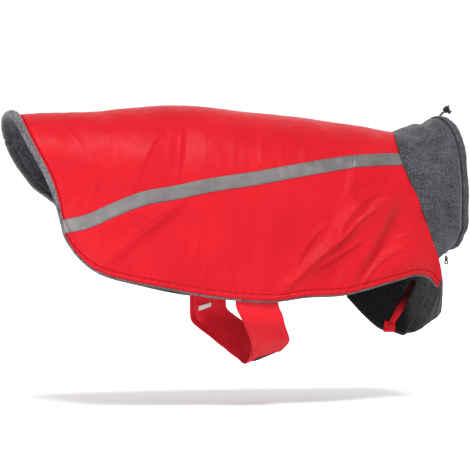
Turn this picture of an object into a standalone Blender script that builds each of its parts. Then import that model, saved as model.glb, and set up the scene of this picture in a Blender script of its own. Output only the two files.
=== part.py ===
"""Dog winter coat: a worn, hollow coat of quilt-backed nylon with a fleece lining.

Frame: +X runs from the tail to the head, +Y to the far side, +Z up.  The origin is on the
inner face of the back lining, straight above the belly strap.  Metres throughout.

The coat's body is one surface.  Its columns (s) run from the tail edge to the neck seam and its
rows (t) from the near hem over the back to the far hem.  Shell, lining and tapes are layers of
that surface, each moved along its normal.
"""
import math

import bmesh
import bpy
import numpy as np
from mathutils import Matrix

# ------------------------------------------------------------------ driving dimensions
BACK_LENGTH = 0.5864            # along the spine, tail edge to neck seam
TAIL_X = -0.3346                # tail edge of the shell, at the spine
NEAR, FAR = -1.0, 1.0           # sides of the coat, as signs of Y
SHELL_WALL = 0.0012             # red nylon
LINING_WALL = 0.0028            # fleece
CHEST_WALL = 0.0030
COLLAR_WALL = 0.0030
STRAP_WALL = 0.0022
SEAM_GAP = 0.0004               # between pieces sewn or lying together
TAPE_WALL = 0.0006

SIDE_ROW = 0.57                 # row (t) at which the side of the body is widest
BACK_ROUNDNESS = 0.95           # 1 is an ellipse, less is squarer
COLUMNS = 33                    # cells along the body
ROWS_ABOVE, ROWS_BELOW = 6, 4   # cells above and below the reflective stripe, on each side
STRIPE_WIDTH = 0.0205
LOWEST_ROW = 0.920              # the stripe's lower edge stays above this row

# s, height of the spine, height of the widest line, half width
BACK_LINE = [
    (0.000, -0.0076, -0.105, 0.075),
    (0.110, -0.0040, -0.110, 0.085),
    (0.215, -0.0011, -0.116, 0.094),
    (0.280, 0.0040, -0.120, 0.099),
    (0.350, 0.0076, -0.125, 0.104),
    (0.410, 0.0100, -0.128, 0.108),
    (0.470, 0.0088, -0.131, 0.111),
    (0.557, 0.0043, -0.134, 0.114),
    (0.640, 0.0002, -0.136, 0.114),
    (0.753, -0.0055, -0.138, 0.111),
    (0.825, -0.0109, -0.138, 0.106),
    (0.915, -0.0169, -0.138, 0.095),
    (0.953, -0.0212, -0.138, 0.088),
    (1.000, -0.0254, -0.138, 0.080),
]

# s, half width at the hem, height of the hem
HEM_LINE = [
    (0.000, 0.069, -0.1830),
    (0.013, 0.071, -0.1975),
    (0.050, 0.080, -0.2245),
    (0.091, 0.088, -0.2390),
    (0.125, 0.093, -0.2450),
    (0.223, 0.101, -0.2570),
    (0.386, 0.108, -0.2735),
    (0.530, 0.110, -0.2782),
    (0.591, 0.110, -0.2732),
    (0.712, 0.108, -0.2693),
    (0.758, 0.104, -0.2640),
    (0.807, 0.098, -0.2570),
    (0.867, 0.088, -0.2490),
    (0.924, 0.075, -0.2425),
    (0.956, 0.065, -0.2445),
    (0.978, 0.057, -0.2500),
    (1.000, 0.050, -0.2630),
]

# t, how far forward the row lies of the spine: near tail edge, extra on the far tail edge, neck seam
EDGE_LEAN = [
    (0.00, 0.0000, 0.000, 0.0000),
    (0.04, 0.0000, 0.000, -0.0008),
    (0.14, 0.0002, 0.000, -0.0070),
    (0.26, 0.0035, 0.001, -0.0105),
    (0.37, 0.0110, 0.003, -0.0090),
    (0.45, 0.0200, 0.005, -0.0015),
    (0.57, 0.0355, 0.013, 0.0145),
    (0.66, 0.0420, 0.024, 0.0265),
    (0.75, 0.0470, 0.034, 0.0385),
    (0.85, 0.0510, 0.041, 0.0527),
    (0.90, 0.0530, 0.044, 0.0580),
    (0.95, 0.0550, 0.046, 0.0600),
    (1.00, 0.0565, 0.048, 0.0570),
]
LEAN_FADE = 2.0                 # the far edge's extra lean dies away with (1 - s) to this power

# place along the body, height of the reflective stripe's upper edge
STRIPE_LINE = [
    (-0.280, -0.1606),
    (-0.250, -0.1534),
    (-0.215, -0.1377),
    (-0.170, -0.1204),
    (-0.131, -0.1131),
    (-0.074, -0.1013),
    (-0.014, -0.0922),
    (0.066, -0.0783),
    (0.154, -0.0652),
    (0.212, -0.0610),
    (0.245, -0.0600),
]

# largest folds, seen from the side: start, middle and end (x, z), width, depth (minus is a trough)
FOLDS = [
    ("neck_to_strap", (0.255, -0.125), (0.165, -0.150), (0.110, -0.205), 0.019, 0.0055),
    ("strap_end", (0.110, -0.205), (0.080, -0.238), (0.035, -0.268), 0.019, 0.0040),
    ("over_neck_to_strap", (0.248, -0.110), (0.180, -0.125), (0.115, -0.172), 0.020, -0.0045),
    ("under_neck_to_strap", (0.225, -0.155), (0.165, -0.200), (0.080, -0.260), 0.022, -0.0050),
    ("shoulder_valley", (0.235, -0.170), (0.205, -0.200), (0.150, -0.245), 0.020, -0.0035),
    ("back_peak", (-0.092, -0.010), (-0.105, -0.060), (-0.121, -0.100), 0.021, -0.0030),
    ("rump", (-0.136, -0.034), (-0.162, -0.070), (-0.186, -0.113), 0.020, 0.0030),
    ("flank", (-0.138, -0.150), (-0.175, -0.185), (-0.215, -0.215), 0.021, -0.0035),
    ("waist_front", (-0.014, -0.180), (-0.018, -0.220), (-0.026, -0.258), 0.022, -0.0035),
    ("waist_rear", (-0.064, -0.150), (-0.066, -0.200), (-0.064, -0.246), 0.022, -0.0030),
    ("tail_top", (-0.300, -0.020), (-0.262, -0.036), (-0.243, -0.060), 0.020, -0.0025),
]

# t, and the fleece edge roll there: width, thickness, centre above the shell's face, gap to its edge
TAIL_ROLL = [
    (0.00, 0.0172, 0.0125, 0.0005, 0.0004),
    (0.25, 0.0150, 0.0115, 0.0005, 0.0004),
    (0.60, 0.0115, 0.0095, 0.0000, 0.0004),
    (0.80, 0.0075, 0.0075, -0.0010, 0.0010),
    (1.00, 0.0045, 0.0056, -0.0012, 0.0022),
]
HEM_ROLL = (0.0040, 0.0056, -0.0022, 0.0006)    # the same along the hem
CORNER_COLUMNS = 7              # columns over which the one becomes the other

# collar, from the neck seam to the drawstring casing
THROAT_ROW = 0.85               # row of the neck seam at which the collar leaves the front panels
THROAT_FRONT = (0.3250, -0.2160)    # x and z of the collar's seam at the centre of the throat
RIM_HALF_WIDTH = 0.070
RIM_TOP, RIM_BOTTOM = 0.0005, -0.2035
RIM_ROUNDNESS = 0.845
# height of the rim's point (0 at the bottom, 1 at the top), x there
RIM_LEAN = [
    (0.00, 0.3410),
    (0.05, 0.3450),
    (0.30, 0.3440),
    (0.60, 0.3405),
    (0.80, 0.3370),
    (0.93, 0.3310),
    (1.00, 0.3260),
]
COLLAR_AROUND, COLLAR_ALONG = 36, 7
CASING_WIDTH, CASING_THICKNESS = 0.0110, 0.0058

# chest flap: top edge, hem and bulge (x, y) from the near seam round the front to the far wing
CHEST_FLAP = [
    ("near_edge", (0.3062, -0.0605, -0.2205), (0.3205, -0.0370, -0.3000), (0.0032, -0.0010)),
    ("near_front", (0.3115, -0.0440, -0.2186), (0.3215, -0.0160, -0.3105), (0.0075, -0.0030)),
    ("front", (0.3180, -0.0220, -0.2176), (0.3115, 0.0050, -0.3235), (0.0130, -0.0030)),
    ("centre", (0.3230, 0.0000, -0.2172), (0.2990, 0.0230, -0.3340), (0.0140, 0.0000)),
    ("far_front", (0.3180, 0.0250, -0.2178), (0.2870, 0.0380, -0.3390), (0.0100, 0.0060)),
    ("far_seam", (0.2990, 0.0430, -0.2205), (0.2735, 0.0460, -0.3345), (0.0030, 0.0040)),
    ("wing_front", (0.2730, 0.0555, -0.2260), (0.2550, 0.0575, -0.3290), (0.0000, 0.0010)),
    ("wing_middle", (0.2430, 0.0690, -0.2310), (0.2330, 0.0715, -0.3070), (0.0000, 0.0000)),
    ("wing_end", (0.2130, 0.0805, -0.2380), (0.2110, 0.0830, -0.2800), (0.0000, 0.0000)),
]
CHEST_ACROSS, CHEST_DOWN = 26, 7

# belly strap: left and right edges, from inside the hem to the overlap under the belly
NEAR_STRAP = [
    ((-0.0320, -0.1025, -0.2580), (0.0325, -0.1025, -0.2580)),
    ((-0.0320, -0.1030, -0.2850), (0.0340, -0.1030, -0.2850)),
    ((-0.0255, -0.1010, -0.3000), (0.0415, -0.1005, -0.3010)),
    ((-0.0145, -0.0930, -0.3170), (0.0475, -0.0935, -0.3160)),
    ((-0.0030, -0.0790, -0.3350), (0.0585, -0.0790, -0.3330)),
    ((0.0075, -0.0600, -0.3515), (0.0632, -0.0660, -0.3430)),
    ((0.0145, -0.0430, -0.3630), (0.0600, -0.0490, -0.3525)),
]
FAR_STRAP = [
    ((-0.0405, 0.1020, -0.2580), (0.0190, 0.1020, -0.2580)),
    ((-0.0403, 0.1030, -0.2900), (0.0185, 0.1030, -0.2870)),
    ((-0.0385, 0.1020, -0.3135), (0.0210, 0.1020, -0.2980)),
    ((-0.0290, 0.0950, -0.3260), (0.0310, 0.0950, -0.3080)),
    ((-0.0142, 0.0780, -0.3405), (0.0400, 0.0820, -0.3170)),
    ((0.0005, 0.0500, -0.3575), (0.0500, 0.0480, -0.3320)),
    ((0.0085, 0.0150, -0.3700), (0.0570, 0.0100, -0.3460)),
    ((0.0108, -0.0130, -0.3765), (0.0590, -0.0250, -0.3560)),
    ((0.0130, -0.0330, -0.3650), (0.0590, -0.0420, -0.3490)),
    ((0.0100, -0.0470, -0.3535), (0.0590, -0.0560, -0.3390)),
]
STRAP_ALONG, STRAP_ACROSS = 16, 4
HOOK_WALL = 0.0010
HOOK_SPAN = (11 / 16, 14 / 16)  # along the far strap, on its outer face
HOOK_ACROSS = (0.25, 1.0)
LABEL_SPAN = (0.115, 0.150)     # along the far strap, on its inner face
LABEL_ACROSS = (0.235, 0.585)
LABEL_SLANT = -0.065            # its way along the strap for its way across

# chest tape: row and column of the chest flap it lies on (v down, u across), half width
CHEST_TAPE = [
    (0.30, 0.530, 0.0045),
    (0.50, 0.562, 0.0048),
    (0.70, 0.592, 0.0050),
    (0.86, 0.622, 0.0052),
]
CHEST_TAPE_WALL = 0.0012
CHEST_TAPE_LIFT = 0.0016        # clear of the flap's facets, which cut inside its curve
TAPE_FOLD = (0.0160, 0.0045, 0.0130)    # folded end: along the hem, thick, high
TAPE_FOLD_AT = (0.955, 0.640)           # its row and column on the flap

# zip at the throat
ZIP_TAPE_WIDTH, ZIP_TAPE_WALL = 0.0150, 0.0008
ZIP_FROM, ZIP_TO = 0.15, 0.97   # along the collar's underside, seam to casing
SLIDER = (0.0085, 0.0072, 0.0022)
HINGE_AT = (0.3440, 0.0, -0.2100)
SLIDER_RISE = 0.0033            # slider's middle above the hinge
BAIL_REACH, BAIL_DROP = 0.0026, 0.0013
LINK_LENGTH, LINK_WIDTH, WIRE = 0.0070, 0.0048, 0.0009
PULL_LENGTH, PULL_WIDTH, PULL_THICKNESS = 0.0135, 0.0046, 0.0016
RING_RADIUS, RING_HOLE, LINK_HOLE = 0.0034, 0.0017, 0.0010

# drawstring and its stopper, above the rim
CORD_RADIUS = 0.0010
CORD_EXIT = (0.3335, 0.0, 0.0052)
STOPPER_AT = (0.3437, 0.0, 0.0114)
STOPPER_TILT = math.radians(124.0)  # the barrel's axis, from the vertical towards the head
STOPPER_RADIUS, STOPPER_LENGTH = 0.0040, 0.0080
BUTTON_NECK, BUTTON_RADIUS, BUTTON_LENGTH = 0.0022, 0.0034, 0.0042
STRAND_SPREAD = 0.0022
STUB_LENGTH = 0.0026

COLOURS = {
    "nylon_red": ((0.820, 0.020, 0.035), 0.42, 0.0),
    "fleece_grey": ((0.105, 0.102, 0.120), 0.95, 0.0),
    "reflective_grey": ((0.270, 0.255, 0.260), 0.35, 0.0),
    "tape_red": ((0.620, 0.010, 0.020), 0.60, 0.0),
    "hook_black": ((0.020, 0.018, 0.020), 0.90, 0.0),
    "label_white": ((0.800, 0.780, 0.780), 0.70, 0.0),
    "textile_black": ((0.020, 0.020, 0.022), 0.85, 0.0),
    "plastic_black": ((0.012, 0.012, 0.013), 0.40, 0.0),
    "steel": ((0.520, 0.520, 0.530), 0.30, 1.0),
}


# ------------------------------------------------------------------ scene and materials
def clear_scene():
    for item in list(bpy.data.objects):
        bpy.data.objects.remove(item, do_unlink=True)


def new_collection(name):
    group = bpy.data.collections.new(name)
    bpy.context.scene.collection.children.link(group)
    return group


def make_materials():
    made = {}
    for name, (colour, roughness, metallic) in COLOURS.items():
        material = bpy.data.materials.new(name)
        material.use_nodes = True
        shader = material.node_tree.nodes["Principled BSDF"]
        shader.inputs["Base Color"].default_value = (*colour, 1.0)
        shader.inputs["Roughness"].default_value = roughness
        shader.inputs["Metallic"].default_value = metallic
        material.diffuse_color = (*colour, 1.0)
        made[name] = material
    return made


# ------------------------------------------------------------------ reading tables
def smooth(table, at):
    """Read a table at stations `at`; the first column is the station, cubic in between."""
    rows = np.array(table, dtype=float)
    key, value = rows[:, 0], rows[:, 1:]
    slope = np.gradient(value, key, axis=0)
    at = np.clip(np.asarray(at, dtype=float), key[0], key[-1])
    k = np.clip(np.searchsorted(key, at, side="right") - 1, 0, len(key) - 2)
    span = key[k + 1] - key[k]
    u = ((at - key[k]) / span)[..., None]
    span = span[..., None]
    start, end = value[k], value[k + 1]
    return (start * (1 + 2 * u) * (1 - u) ** 2 + slope[k] * span * u * (1 - u) ** 2
            + end * (3 - 2 * u) * u ** 2 + slope[k + 1] * span * u ** 2 * (u - 1))


def evenly(points):
    """Stations 0 to 1 for a list of points, each with the points' own values behind it."""
    flat = np.array([np.ravel(point) for point in points], dtype=float)
    return np.column_stack([np.linspace(0, 1, len(flat)), flat])


def unit(vectors):
    return vectors / np.maximum(np.linalg.norm(vectors, axis=-1, keepdims=True), 1e-9)


def grid_normals(points, closed=False):
    """Outward normals of a grid of points; the last column repeats the first when closed."""
    along = np.gradient(points, axis=0)
    across = np.gradient(points, axis=1)
    if closed:
        across[:, 0] = across[:, -1] = points[:, 1] - points[:, -2]
    return unit(np.cross(along, across))


# ------------------------------------------------------------------ the coat's body surface
def fold_height(x, z):
    """Sum of the folds at places seen from the side: a rounded bank along a curve through three
    points, fading out at its ends."""
    total = np.zeros_like(x)
    way = np.linspace(0, 1, 25)
    for _, start, middle, end, width, depth in FOLDS:
        control = 2 * np.array(middle) - (np.array(start) + np.array(end)) / 2
        curve = (np.outer((1 - way) ** 2, start) + np.outer(2 * way * (1 - way), control)
                 + np.outer(way ** 2, end))
        gap = np.hypot(x[..., None] - curve[:, 0], z[..., None] - curve[:, 1])
        nearest = np.argmin(gap, axis=-1)
        fade = np.sin(np.pi * np.clip(way[nearest] * 0.9 + 0.08, 0, 1)) ** 0.7
        total += depth * fade * np.exp(-(gap.min(axis=-1) / width) ** 2)
    return total


def body_surface(s, t):
    """Outer face of the coat's body at columns s and rows t (minus is the near side)."""
    down = np.abs(t)
    side = np.where(t < 0, NEAR, FAR)
    spine_z, side_z, half_width = np.moveaxis(smooth(BACK_LINE, s), -1, 0)
    hem_y, hem_z = np.moveaxis(smooth(HEM_LINE, s), -1, 0)
    near_lean, far_lean, neck_lean = np.moveaxis(smooth(EDGE_LEAN, down), -1, 0)

    turn = np.clip(down / SIDE_ROW, 0, 1) * math.pi / 2
    drop = np.clip((down - SIDE_ROW) / (1 - SIDE_ROW), 0, 1)
    y = half_width * np.sin(turn) ** BACK_ROUNDNESS - (half_width - hem_y) * drop ** 1.3
    z = side_z + (spine_z - side_z) * np.cos(turn) ** BACK_ROUNDNESS + (hem_z - side_z) * drop

    tail_lean = near_lean + np.where(side == FAR, far_lean * (1 - s) ** LEAN_FADE, 0.0)
    x = TAIL_X + BACK_LENGTH * s + (1 - s) * tail_lean + s * neck_lean
    return np.stack([x, side * y, z], axis=-1)


def stripe_rows(s):
    """Rows of the reflective stripe's upper and lower edge at columns s."""
    t = np.linspace(0.02, 0.99, 240)
    column, row = np.meshgrid(s, t, indexing="ij")
    points = body_surface(column, -row)
    wanted = smooth(STRIPE_LINE, points[..., 0])[..., 0]
    first = np.argmax(points[..., 2] < wanted, axis=1)
    step = np.linalg.norm(np.diff(points, axis=1), axis=-1)
    length = np.concatenate([np.zeros((len(s), 1)), np.cumsum(step, axis=1)], axis=1)
    upper, lower = [], []
    for i, k in enumerate(first):
        upper.append(t[k])
        lower.append(np.interp(length[i, k] + STRIPE_WIDTH, length[i], t))
    return np.array(upper), np.minimum(np.array(lower), LOWEST_ROW)


def body_grid():
    """Points of the body's outer face, folds included, and the rows that bound the stripe."""
    s = np.linspace(0, 1, COLUMNS + 1)
    upper, lower = stripe_rows(s)
    half = ROWS_ABOVE + 1 + ROWS_BELOW
    knots = np.array([0, ROWS_ABOVE, ROWS_ABOVE + 1, half], dtype=float)
    index = np.arange(half + 1, dtype=float)
    down = np.array([np.interp(index, knots, [0, a, b, 1]) for a, b in zip(upper, lower)])
    row = np.concatenate([-down[:, :0:-1], down], axis=1)
    column = np.repeat(s[:, None], row.shape[1], axis=1)
    points = body_surface(column, row)
    normals = grid_normals(points)
    steep = np.clip(np.abs(row) / 0.25, 0, 1)[..., None]
    raised = fold_height(points[..., 0], points[..., 2])[..., None] * steep
    return points + normals * raised


# ------------------------------------------------------------------ making meshes
def grid_mesh(name, points, wrap=False, wrap_rows=False):
    """A triangulated open surface through a grid of points, from Blender's grid primitive."""
    rows, columns = points.shape[0] - 1, points.shape[1] - 1
    shape = bmesh.new()
    bmesh.ops.create_grid(shape, x_segments=rows, y_segments=columns, size=1.0)
    for vertex in shape.verts:
        i = round((vertex.co.x + 1) / 2 * rows)
        j = round((vertex.co.y + 1) / 2 * columns)
        vertex.co = points[i, j]
    if wrap or wrap_rows:
        bmesh.ops.remove_doubles(shape, verts=shape.verts, dist=1e-6)
    bmesh.ops.triangulate(shape, faces=shape.faces, quad_method="FIXED")
    mesh = bpy.data.meshes.new(name)
    shape.to_mesh(mesh)
    shape.free()
    return mesh


def add_object(name, mesh, material, group, smooth_shaded=True):
    item = bpy.data.objects.new(name, mesh)
    group.objects.link(item)
    mesh.materials.append(material)
    if smooth_shaded:
        mesh.shade_smooth()
    return item


def add_wall(item, thickness):
    wall = item.modifiers.new("wall", "SOLIDIFY")
    wall.thickness = thickness
    wall.offset = 1.0
    return wall


def cloth(name, points, thickness, material, group, wrap=False):
    """A cloth wall that stands outward from the given inner points."""
    item = add_object(name, grid_mesh(name, points, wrap), material, group)
    add_wall(item, thickness)
    return item


def oval_tube(name, centres, outward, sideways, widths, depths, material, group, sides=8,
              closed=False):
    """A tube of oval section along a line of centres, its ends filled unless it is a loop."""
    turn = np.linspace(0, 2 * np.pi, sides + 1)
    turn[-1] = 0.0
    points = (centres[:, None]
              + outward[:, None] * (np.cos(turn)[None, :, None] * widths[:, None, None] / 2)
              + sideways[:, None] * (np.sin(turn)[None, :, None] * depths[:, None, None] / 2))
    mesh = grid_mesh(name, points, wrap=True, wrap_rows=closed)
    shape = bmesh.new()
    shape.from_mesh(mesh)
    if not closed:
        bmesh.ops.holes_fill(shape, edges=[e for e in shape.edges if e.is_boundary], sides=0)
    bmesh.ops.recalc_face_normals(shape, faces=shape.faces)
    shape.to_mesh(mesh)
    shape.free()
    return add_object(name, mesh, material, group)


def round_wire(name, points, radius, material, group, resolution=2, cyclic=False):
    """A round wire or cord through points, made a mesh so that its end caps are closed."""
    curve = bpy.data.curves.new(name, "CURVE")
    curve.dimensions = "3D"
    curve.bevel_depth = radius
    curve.bevel_resolution = resolution
    curve.use_fill_caps = True
    spline = curve.splines.new("POLY")
    spline.points.add(len(points) - 1)
    for knot, place in zip(spline.points, points):
        knot.co = (*place, 1.0)
    spline.use_cyclic_u = cyclic
    return mesh_from_curve(name, curve, material, group)


def mesh_from_curve(name, curve, material, group):
    holder = bpy.data.objects.new(name + "_curve", curve)
    group.objects.link(holder)
    bpy.context.view_layer.update()
    evaluated = holder.evaluated_get(bpy.context.evaluated_depsgraph_get())
    mesh = bpy.data.meshes.new_from_object(evaluated)
    bpy.data.objects.remove(holder, do_unlink=True)
    shape = bmesh.new()
    shape.from_mesh(mesh)
    bmesh.ops.remove_doubles(shape, verts=shape.verts, dist=1e-6)
    shape.to_mesh(mesh)
    shape.free()
    mesh.materials.clear()
    mesh.name = name
    return add_object(name, mesh, material, group)


# ------------------------------------------------------------------ body pieces
def shell_and_lining(body, normals, materials, group):
    cloth("shell", body - normals * SHELL_WALL, SHELL_WALL, materials["nylon_red"], group)
    depth = SHELL_WALL + SEAM_GAP + LINING_WALL
    cloth("lining", body - normals * depth, LINING_WALL, materials["fleece_grey"], group)


def reflective_stripes(body, normals, materials, group):
    """A tape on each side, on the two rows of the body that bound it."""
    middle = ROWS_ABOVE + 1 + ROWS_BELOW
    for name, side in (("stripe_near", NEAR), ("stripe_far", FAR)):
        edge = [middle + int(side) * ROWS_ABOVE, middle + int(side) * (ROWS_ABOVE + 1)]
        rows = sorted(edge)
        points = (body + normals * SEAM_GAP)[:, rows]
        cloth(name, points, TAPE_WALL, materials["reflective_grey"], group)


def edge_roll(body, normals, materials, group):
    """The fleece roll: from the near tip along the hem, up round the tail edge, to the far tip."""
    rows = body.shape[1]
    at_tail = smooth(TAIL_ROLL, np.abs(np.linspace(-1, 1, rows)))
    near_hem, tail, far_hem = body[:0:-1, 0], body[0], body[1:, -1]
    line = np.concatenate([near_hem, tail, far_hem])
    normal = np.concatenate([normals[:0:-1, 0], normals[0], normals[1:, -1]])
    hem = len(near_hem)
    corner = np.clip(1 - np.arange(hem)[:, None] / CORNER_COLUMNS, 0, 1) ** 2
    at_hem = np.array(HEM_ROLL) + (at_tail[0] - np.array(HEM_ROLL)) * corner
    width, depth, lift, gap = np.concatenate([at_hem[::-1], at_tail, at_hem]).T
    forward = unit(np.gradient(line, axis=0))
    outward = unit(np.cross(normal, forward))
    centre = line + normal * lift[:, None] + outward * (width / 2 + gap)[:, None]
    oval_tube("edge_roll", centre, outward, normal, width, depth,
              materials["fleece_grey"], group)


# ------------------------------------------------------------------ collar
def collar_base(p):
    """Neck seam loop at p: 0 at the spine, -1 at the throat's near side, 1 at its far side."""
    along = np.abs(p)
    side = np.where(p < 0, NEAR, FAR)
    on_seam = np.clip(along / 0.80, 0, 1)
    seam = body_surface(np.ones_like(p), side * on_seam * THROAT_ROW)
    corner = body_surface(np.array([1.0]), np.array([THROAT_ROW]))[0]
    inward = np.clip((along - 0.80) / 0.20, 0, 1)
    x = corner[0] + (THROAT_FRONT[0] - corner[0]) * inward
    y = side * corner[1] * (1 - inward)
    z = corner[2] + (THROAT_FRONT[1] - corner[2]) * inward
    throat = np.stack([x, y, z], axis=-1)
    return np.where((along > 0.80)[..., None], throat, seam)


def collar_end(p):
    """Ring where the collar meets its drawstring casing, an oval that leans forward at the top."""
    turn = np.abs(p) * math.pi
    side = np.where(p < 0, NEAR, FAR)
    y = side * RIM_HALF_WIDTH * np.sin(turn) ** RIM_ROUNDNESS
    rise = (1 + np.sign(np.cos(turn)) * np.abs(np.cos(turn)) ** RIM_ROUNDNESS) / 2
    z = RIM_BOTTOM + (RIM_TOP - RIM_BOTTOM) * rise
    x = smooth(RIM_LEAN, rise)[..., 0]
    return np.stack([x, y, z], axis=-1)


def collar_surface(v, p):
    """Outer face of the collar: v from the neck seam (0) to the casing (1)."""
    base, end = collar_base(p), collar_end(p)
    start = base + np.array([0.0012, 0.0, 0.0])
    points = start + (end - start) * v[..., None]
    centre = np.array([0.30, 0.0, -0.105])
    away = unit((points - centre) * np.array([0.0, 1.0, 1.0]))
    side_swell = 0.006 * np.sin(np.pi * v) * np.sin(np.pi * np.abs(p)) ** 2
    dent = -0.0055 * np.exp(-((v - 0.72) / 0.13) ** 2) * np.exp(-(p / 0.22) ** 2)
    rear_swell = -0.0004 * np.exp(-((v - 0.40) / 0.16) ** 2) * np.exp(-(p / 0.3) ** 2)
    return points + away * (side_swell + dent + rear_swell)[..., None]


def collar(materials, group):
    p = np.linspace(-1, 1, COLLAR_AROUND + 1)
    v = np.linspace(0, 1, COLLAR_ALONG + 1)
    row, around = np.meshgrid(v, p, indexing="ij")
    outer = collar_surface(row, around)
    outer[:, -1] = outer[:, 0]
    normals = grid_normals(outer, closed=True)
    normals[:, -1] = normals[:, 0]
    inner = outer - normals * COLLAR_WALL
    cloth("collar", inner, COLLAR_WALL, materials["fleece_grey"], group, wrap=True)


def casing_line():
    """Centre line of the casing, with its forward and outward directions."""
    p = np.linspace(-1, 1, COLLAR_AROUND + 1)
    rim = collar_surface(np.ones_like(p), p)
    before = collar_surface(np.full_like(p, 0.93), p)
    along = unit(np.gradient(rim, axis=0))
    along[0] = along[-1] = unit(rim[1] - rim[-2])
    forward = unit(unit(rim - before) + np.array([0.35, 0.0, 0.0]))
    forward = unit(forward - along * np.sum(forward * along, axis=1, keepdims=True))
    outward = unit(np.cross(forward, along))
    forward[-1], outward[-1] = forward[0], outward[0]
    centre = (rim - outward * COLLAR_WALL / 2
              + forward * (CASING_WIDTH / 2 + 2 * SEAM_GAP))
    centre[-1] = centre[0]
    return centre, forward, outward


def casing(materials, group):
    centre, forward, outward = casing_line()
    width = np.full(len(centre), CASING_WIDTH)
    depth = np.full(len(centre), CASING_THICKNESS)
    oval_tube("collar_casing", centre, forward, outward, width, depth,
              materials["fleece_grey"], group, closed=True)


# ------------------------------------------------------------------ chest flap
def chest_surface(v, u):
    """Outer face of the chest flap: v from its sewn top (0) to its hem (1), u from the near edge
    round the front to the far wing (1)."""
    top = smooth(evenly([row[1] for row in CHEST_FLAP]), u)
    hem = smooth(evenly([row[2] for row in CHEST_FLAP]), u)
    bulge = smooth(evenly([(*row[3], 0.0) for row in CHEST_FLAP]), u)
    return top + (hem - top) * v[..., None] + bulge * np.sin(np.pi * v)[..., None]


def chest_grid(across, down):
    v = np.linspace(0, 1, down + 1)
    u = np.linspace(0, 1, across + 1)
    row, column = np.meshgrid(v, u, indexing="ij")
    return chest_surface(row, column)


def chest_flap(materials, group):
    outer = chest_grid(CHEST_ACROSS, CHEST_DOWN)
    normals = grid_normals(outer)
    cloth("chest_flap", outer - normals * CHEST_WALL, CHEST_WALL, materials["fleece_grey"], group)


def chest_tape(materials, group):
    """Red tape on the flap's inner face, and its folded end sewn at the flap's hem."""
    way = np.linspace(0, 1, 9)
    v, u, half = np.moveaxis(smooth(evenly(CHEST_TAPE), way), -1, 0)
    step = 1e-3
    centre = chest_surface(v, u)
    normal = unit(np.cross(chest_surface(v + step, u) - centre, chest_surface(v, u + step) - centre))
    along = unit(np.gradient(centre, axis=0))
    sideways = unit(np.cross(normal, along))
    lift = CHEST_WALL + CHEST_TAPE_LIFT + CHEST_TAPE_WALL
    middle = centre - normal * lift
    points = np.stack([middle + sideways * half[:, None], middle - sideways * half[:, None]], axis=1)
    cloth("chest_tape", points[:, ::-1], CHEST_TAPE_WALL, materials["tape_red"], group)

    fold = block("chest_tape_fold", TAPE_FOLD, materials["tape_red"], group)
    row, column = (np.array([value]) for value in TAPE_FOLD_AT)
    place = chest_surface(row, column)[0]
    hemward = unit(chest_surface(row + step, column)[0] - place)
    wingward = unit(chest_surface(row, column + step)[0] - place)
    outward = unit(np.cross(hemward, wingward))
    upward = np.cross(wingward, -outward)
    inside = place - outward * (CHEST_WALL + 2 * SEAM_GAP + TAPE_FOLD[1] / 2)
    fold.matrix_world = Matrix([[*axis, 0.0] for axis in np.array([wingward, -outward, upward]).T]
                               + [[0.0, 0.0, 0.0, 1.0]])
    fold.location = inside
    add_bevel(fold, 0.0012, 2)


def block(name, size, material, group):
    """A box about its own centre."""
    shape = bmesh.new()
    bmesh.ops.create_cube(shape, size=1.0)
    bmesh.ops.scale(shape, vec=size, verts=shape.verts)
    mesh = bpy.data.meshes.new(name)
    shape.to_mesh(mesh)
    shape.free()
    return add_object(name, mesh, material, group)


def add_bevel(item, width, segments):
    bevel = item.modifiers.new("edges", "BEVEL")
    bevel.width = width
    bevel.segments = segments


# ------------------------------------------------------------------ belly strap
def strap_surface(table, a, b):
    """Strap face at a along its length and b across it, from its left (0) to right (1) edge."""
    edges = smooth(evenly(table), a)
    left, right = edges[..., :3], edges[..., 3:]
    return left + (right - left) * b[..., None]


def strap_grid(table, span=(0.0, 1.0), across=(0.0, 1.0), cells=STRAP_ALONG, cells_across=STRAP_ACROSS):
    a = np.linspace(*span, cells + 1)
    b = np.linspace(*across, cells_across + 1)
    along, over = np.meshgrid(a, b, indexing="ij")
    return strap_surface(table, along, over)


def belly_strap(materials, group):
    """Near and far ends of the strap; the tables give their outer faces, and the walls stand
    inward from them.  The hook tape is on the far end's outer face, the label on its inner one."""
    near = strap_grid(NEAR_STRAP)[:, ::-1]
    far = strap_grid(FAR_STRAP)
    cloth("strap_near", near, STRAP_WALL, materials["nylon_red"], group)
    cloth("strap_far", far, STRAP_WALL, materials["nylon_red"], group)

    hook = strap_grid(FAR_STRAP, HOOK_SPAN, HOOK_ACROSS, cells=3, cells_across=3)
    hook = hook - grid_normals(hook) * (SEAM_GAP + HOOK_WALL)
    cloth("strap_hook_tape", hook, HOOK_WALL, materials["hook_black"], group)

    over = np.linspace(*LABEL_ACROSS, 3)
    along, over = np.meshgrid(np.linspace(*LABEL_SPAN, 3), over, indexing="ij")
    label = strap_surface(FAR_STRAP, along + LABEL_SLANT * (over - over.mean()), over)
    label = label + grid_normals(label) * (STRAP_WALL + SEAM_GAP)
    cloth("strap_label", label, TAPE_WALL, materials["label_white"], group)


# ------------------------------------------------------------------ zip
def zip_tape(materials, group):
    """Closed zip on the underside of the collar, from the throat seam to the casing."""
    v = np.linspace(ZIP_FROM, ZIP_TO, 6)
    across = np.linspace(-0.5, 0.5, 5) * ZIP_TAPE_WIDTH
    front = collar_surface(v, np.ones_like(v))
    slope = unit(np.gradient(front, axis=0))
    down = unit(np.cross(slope, np.array([0.0, 1.0, 0.0])))
    down = down * np.sign(-down[:, 2:3])
    base = front + down * 3 * SEAM_GAP
    points = np.repeat(base[:, None], len(across), axis=1)
    points[..., 1] = across[None, :]
    cloth("zip_tape", points[:, ::-1], ZIP_TAPE_WALL, materials["textile_black"], group)


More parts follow.
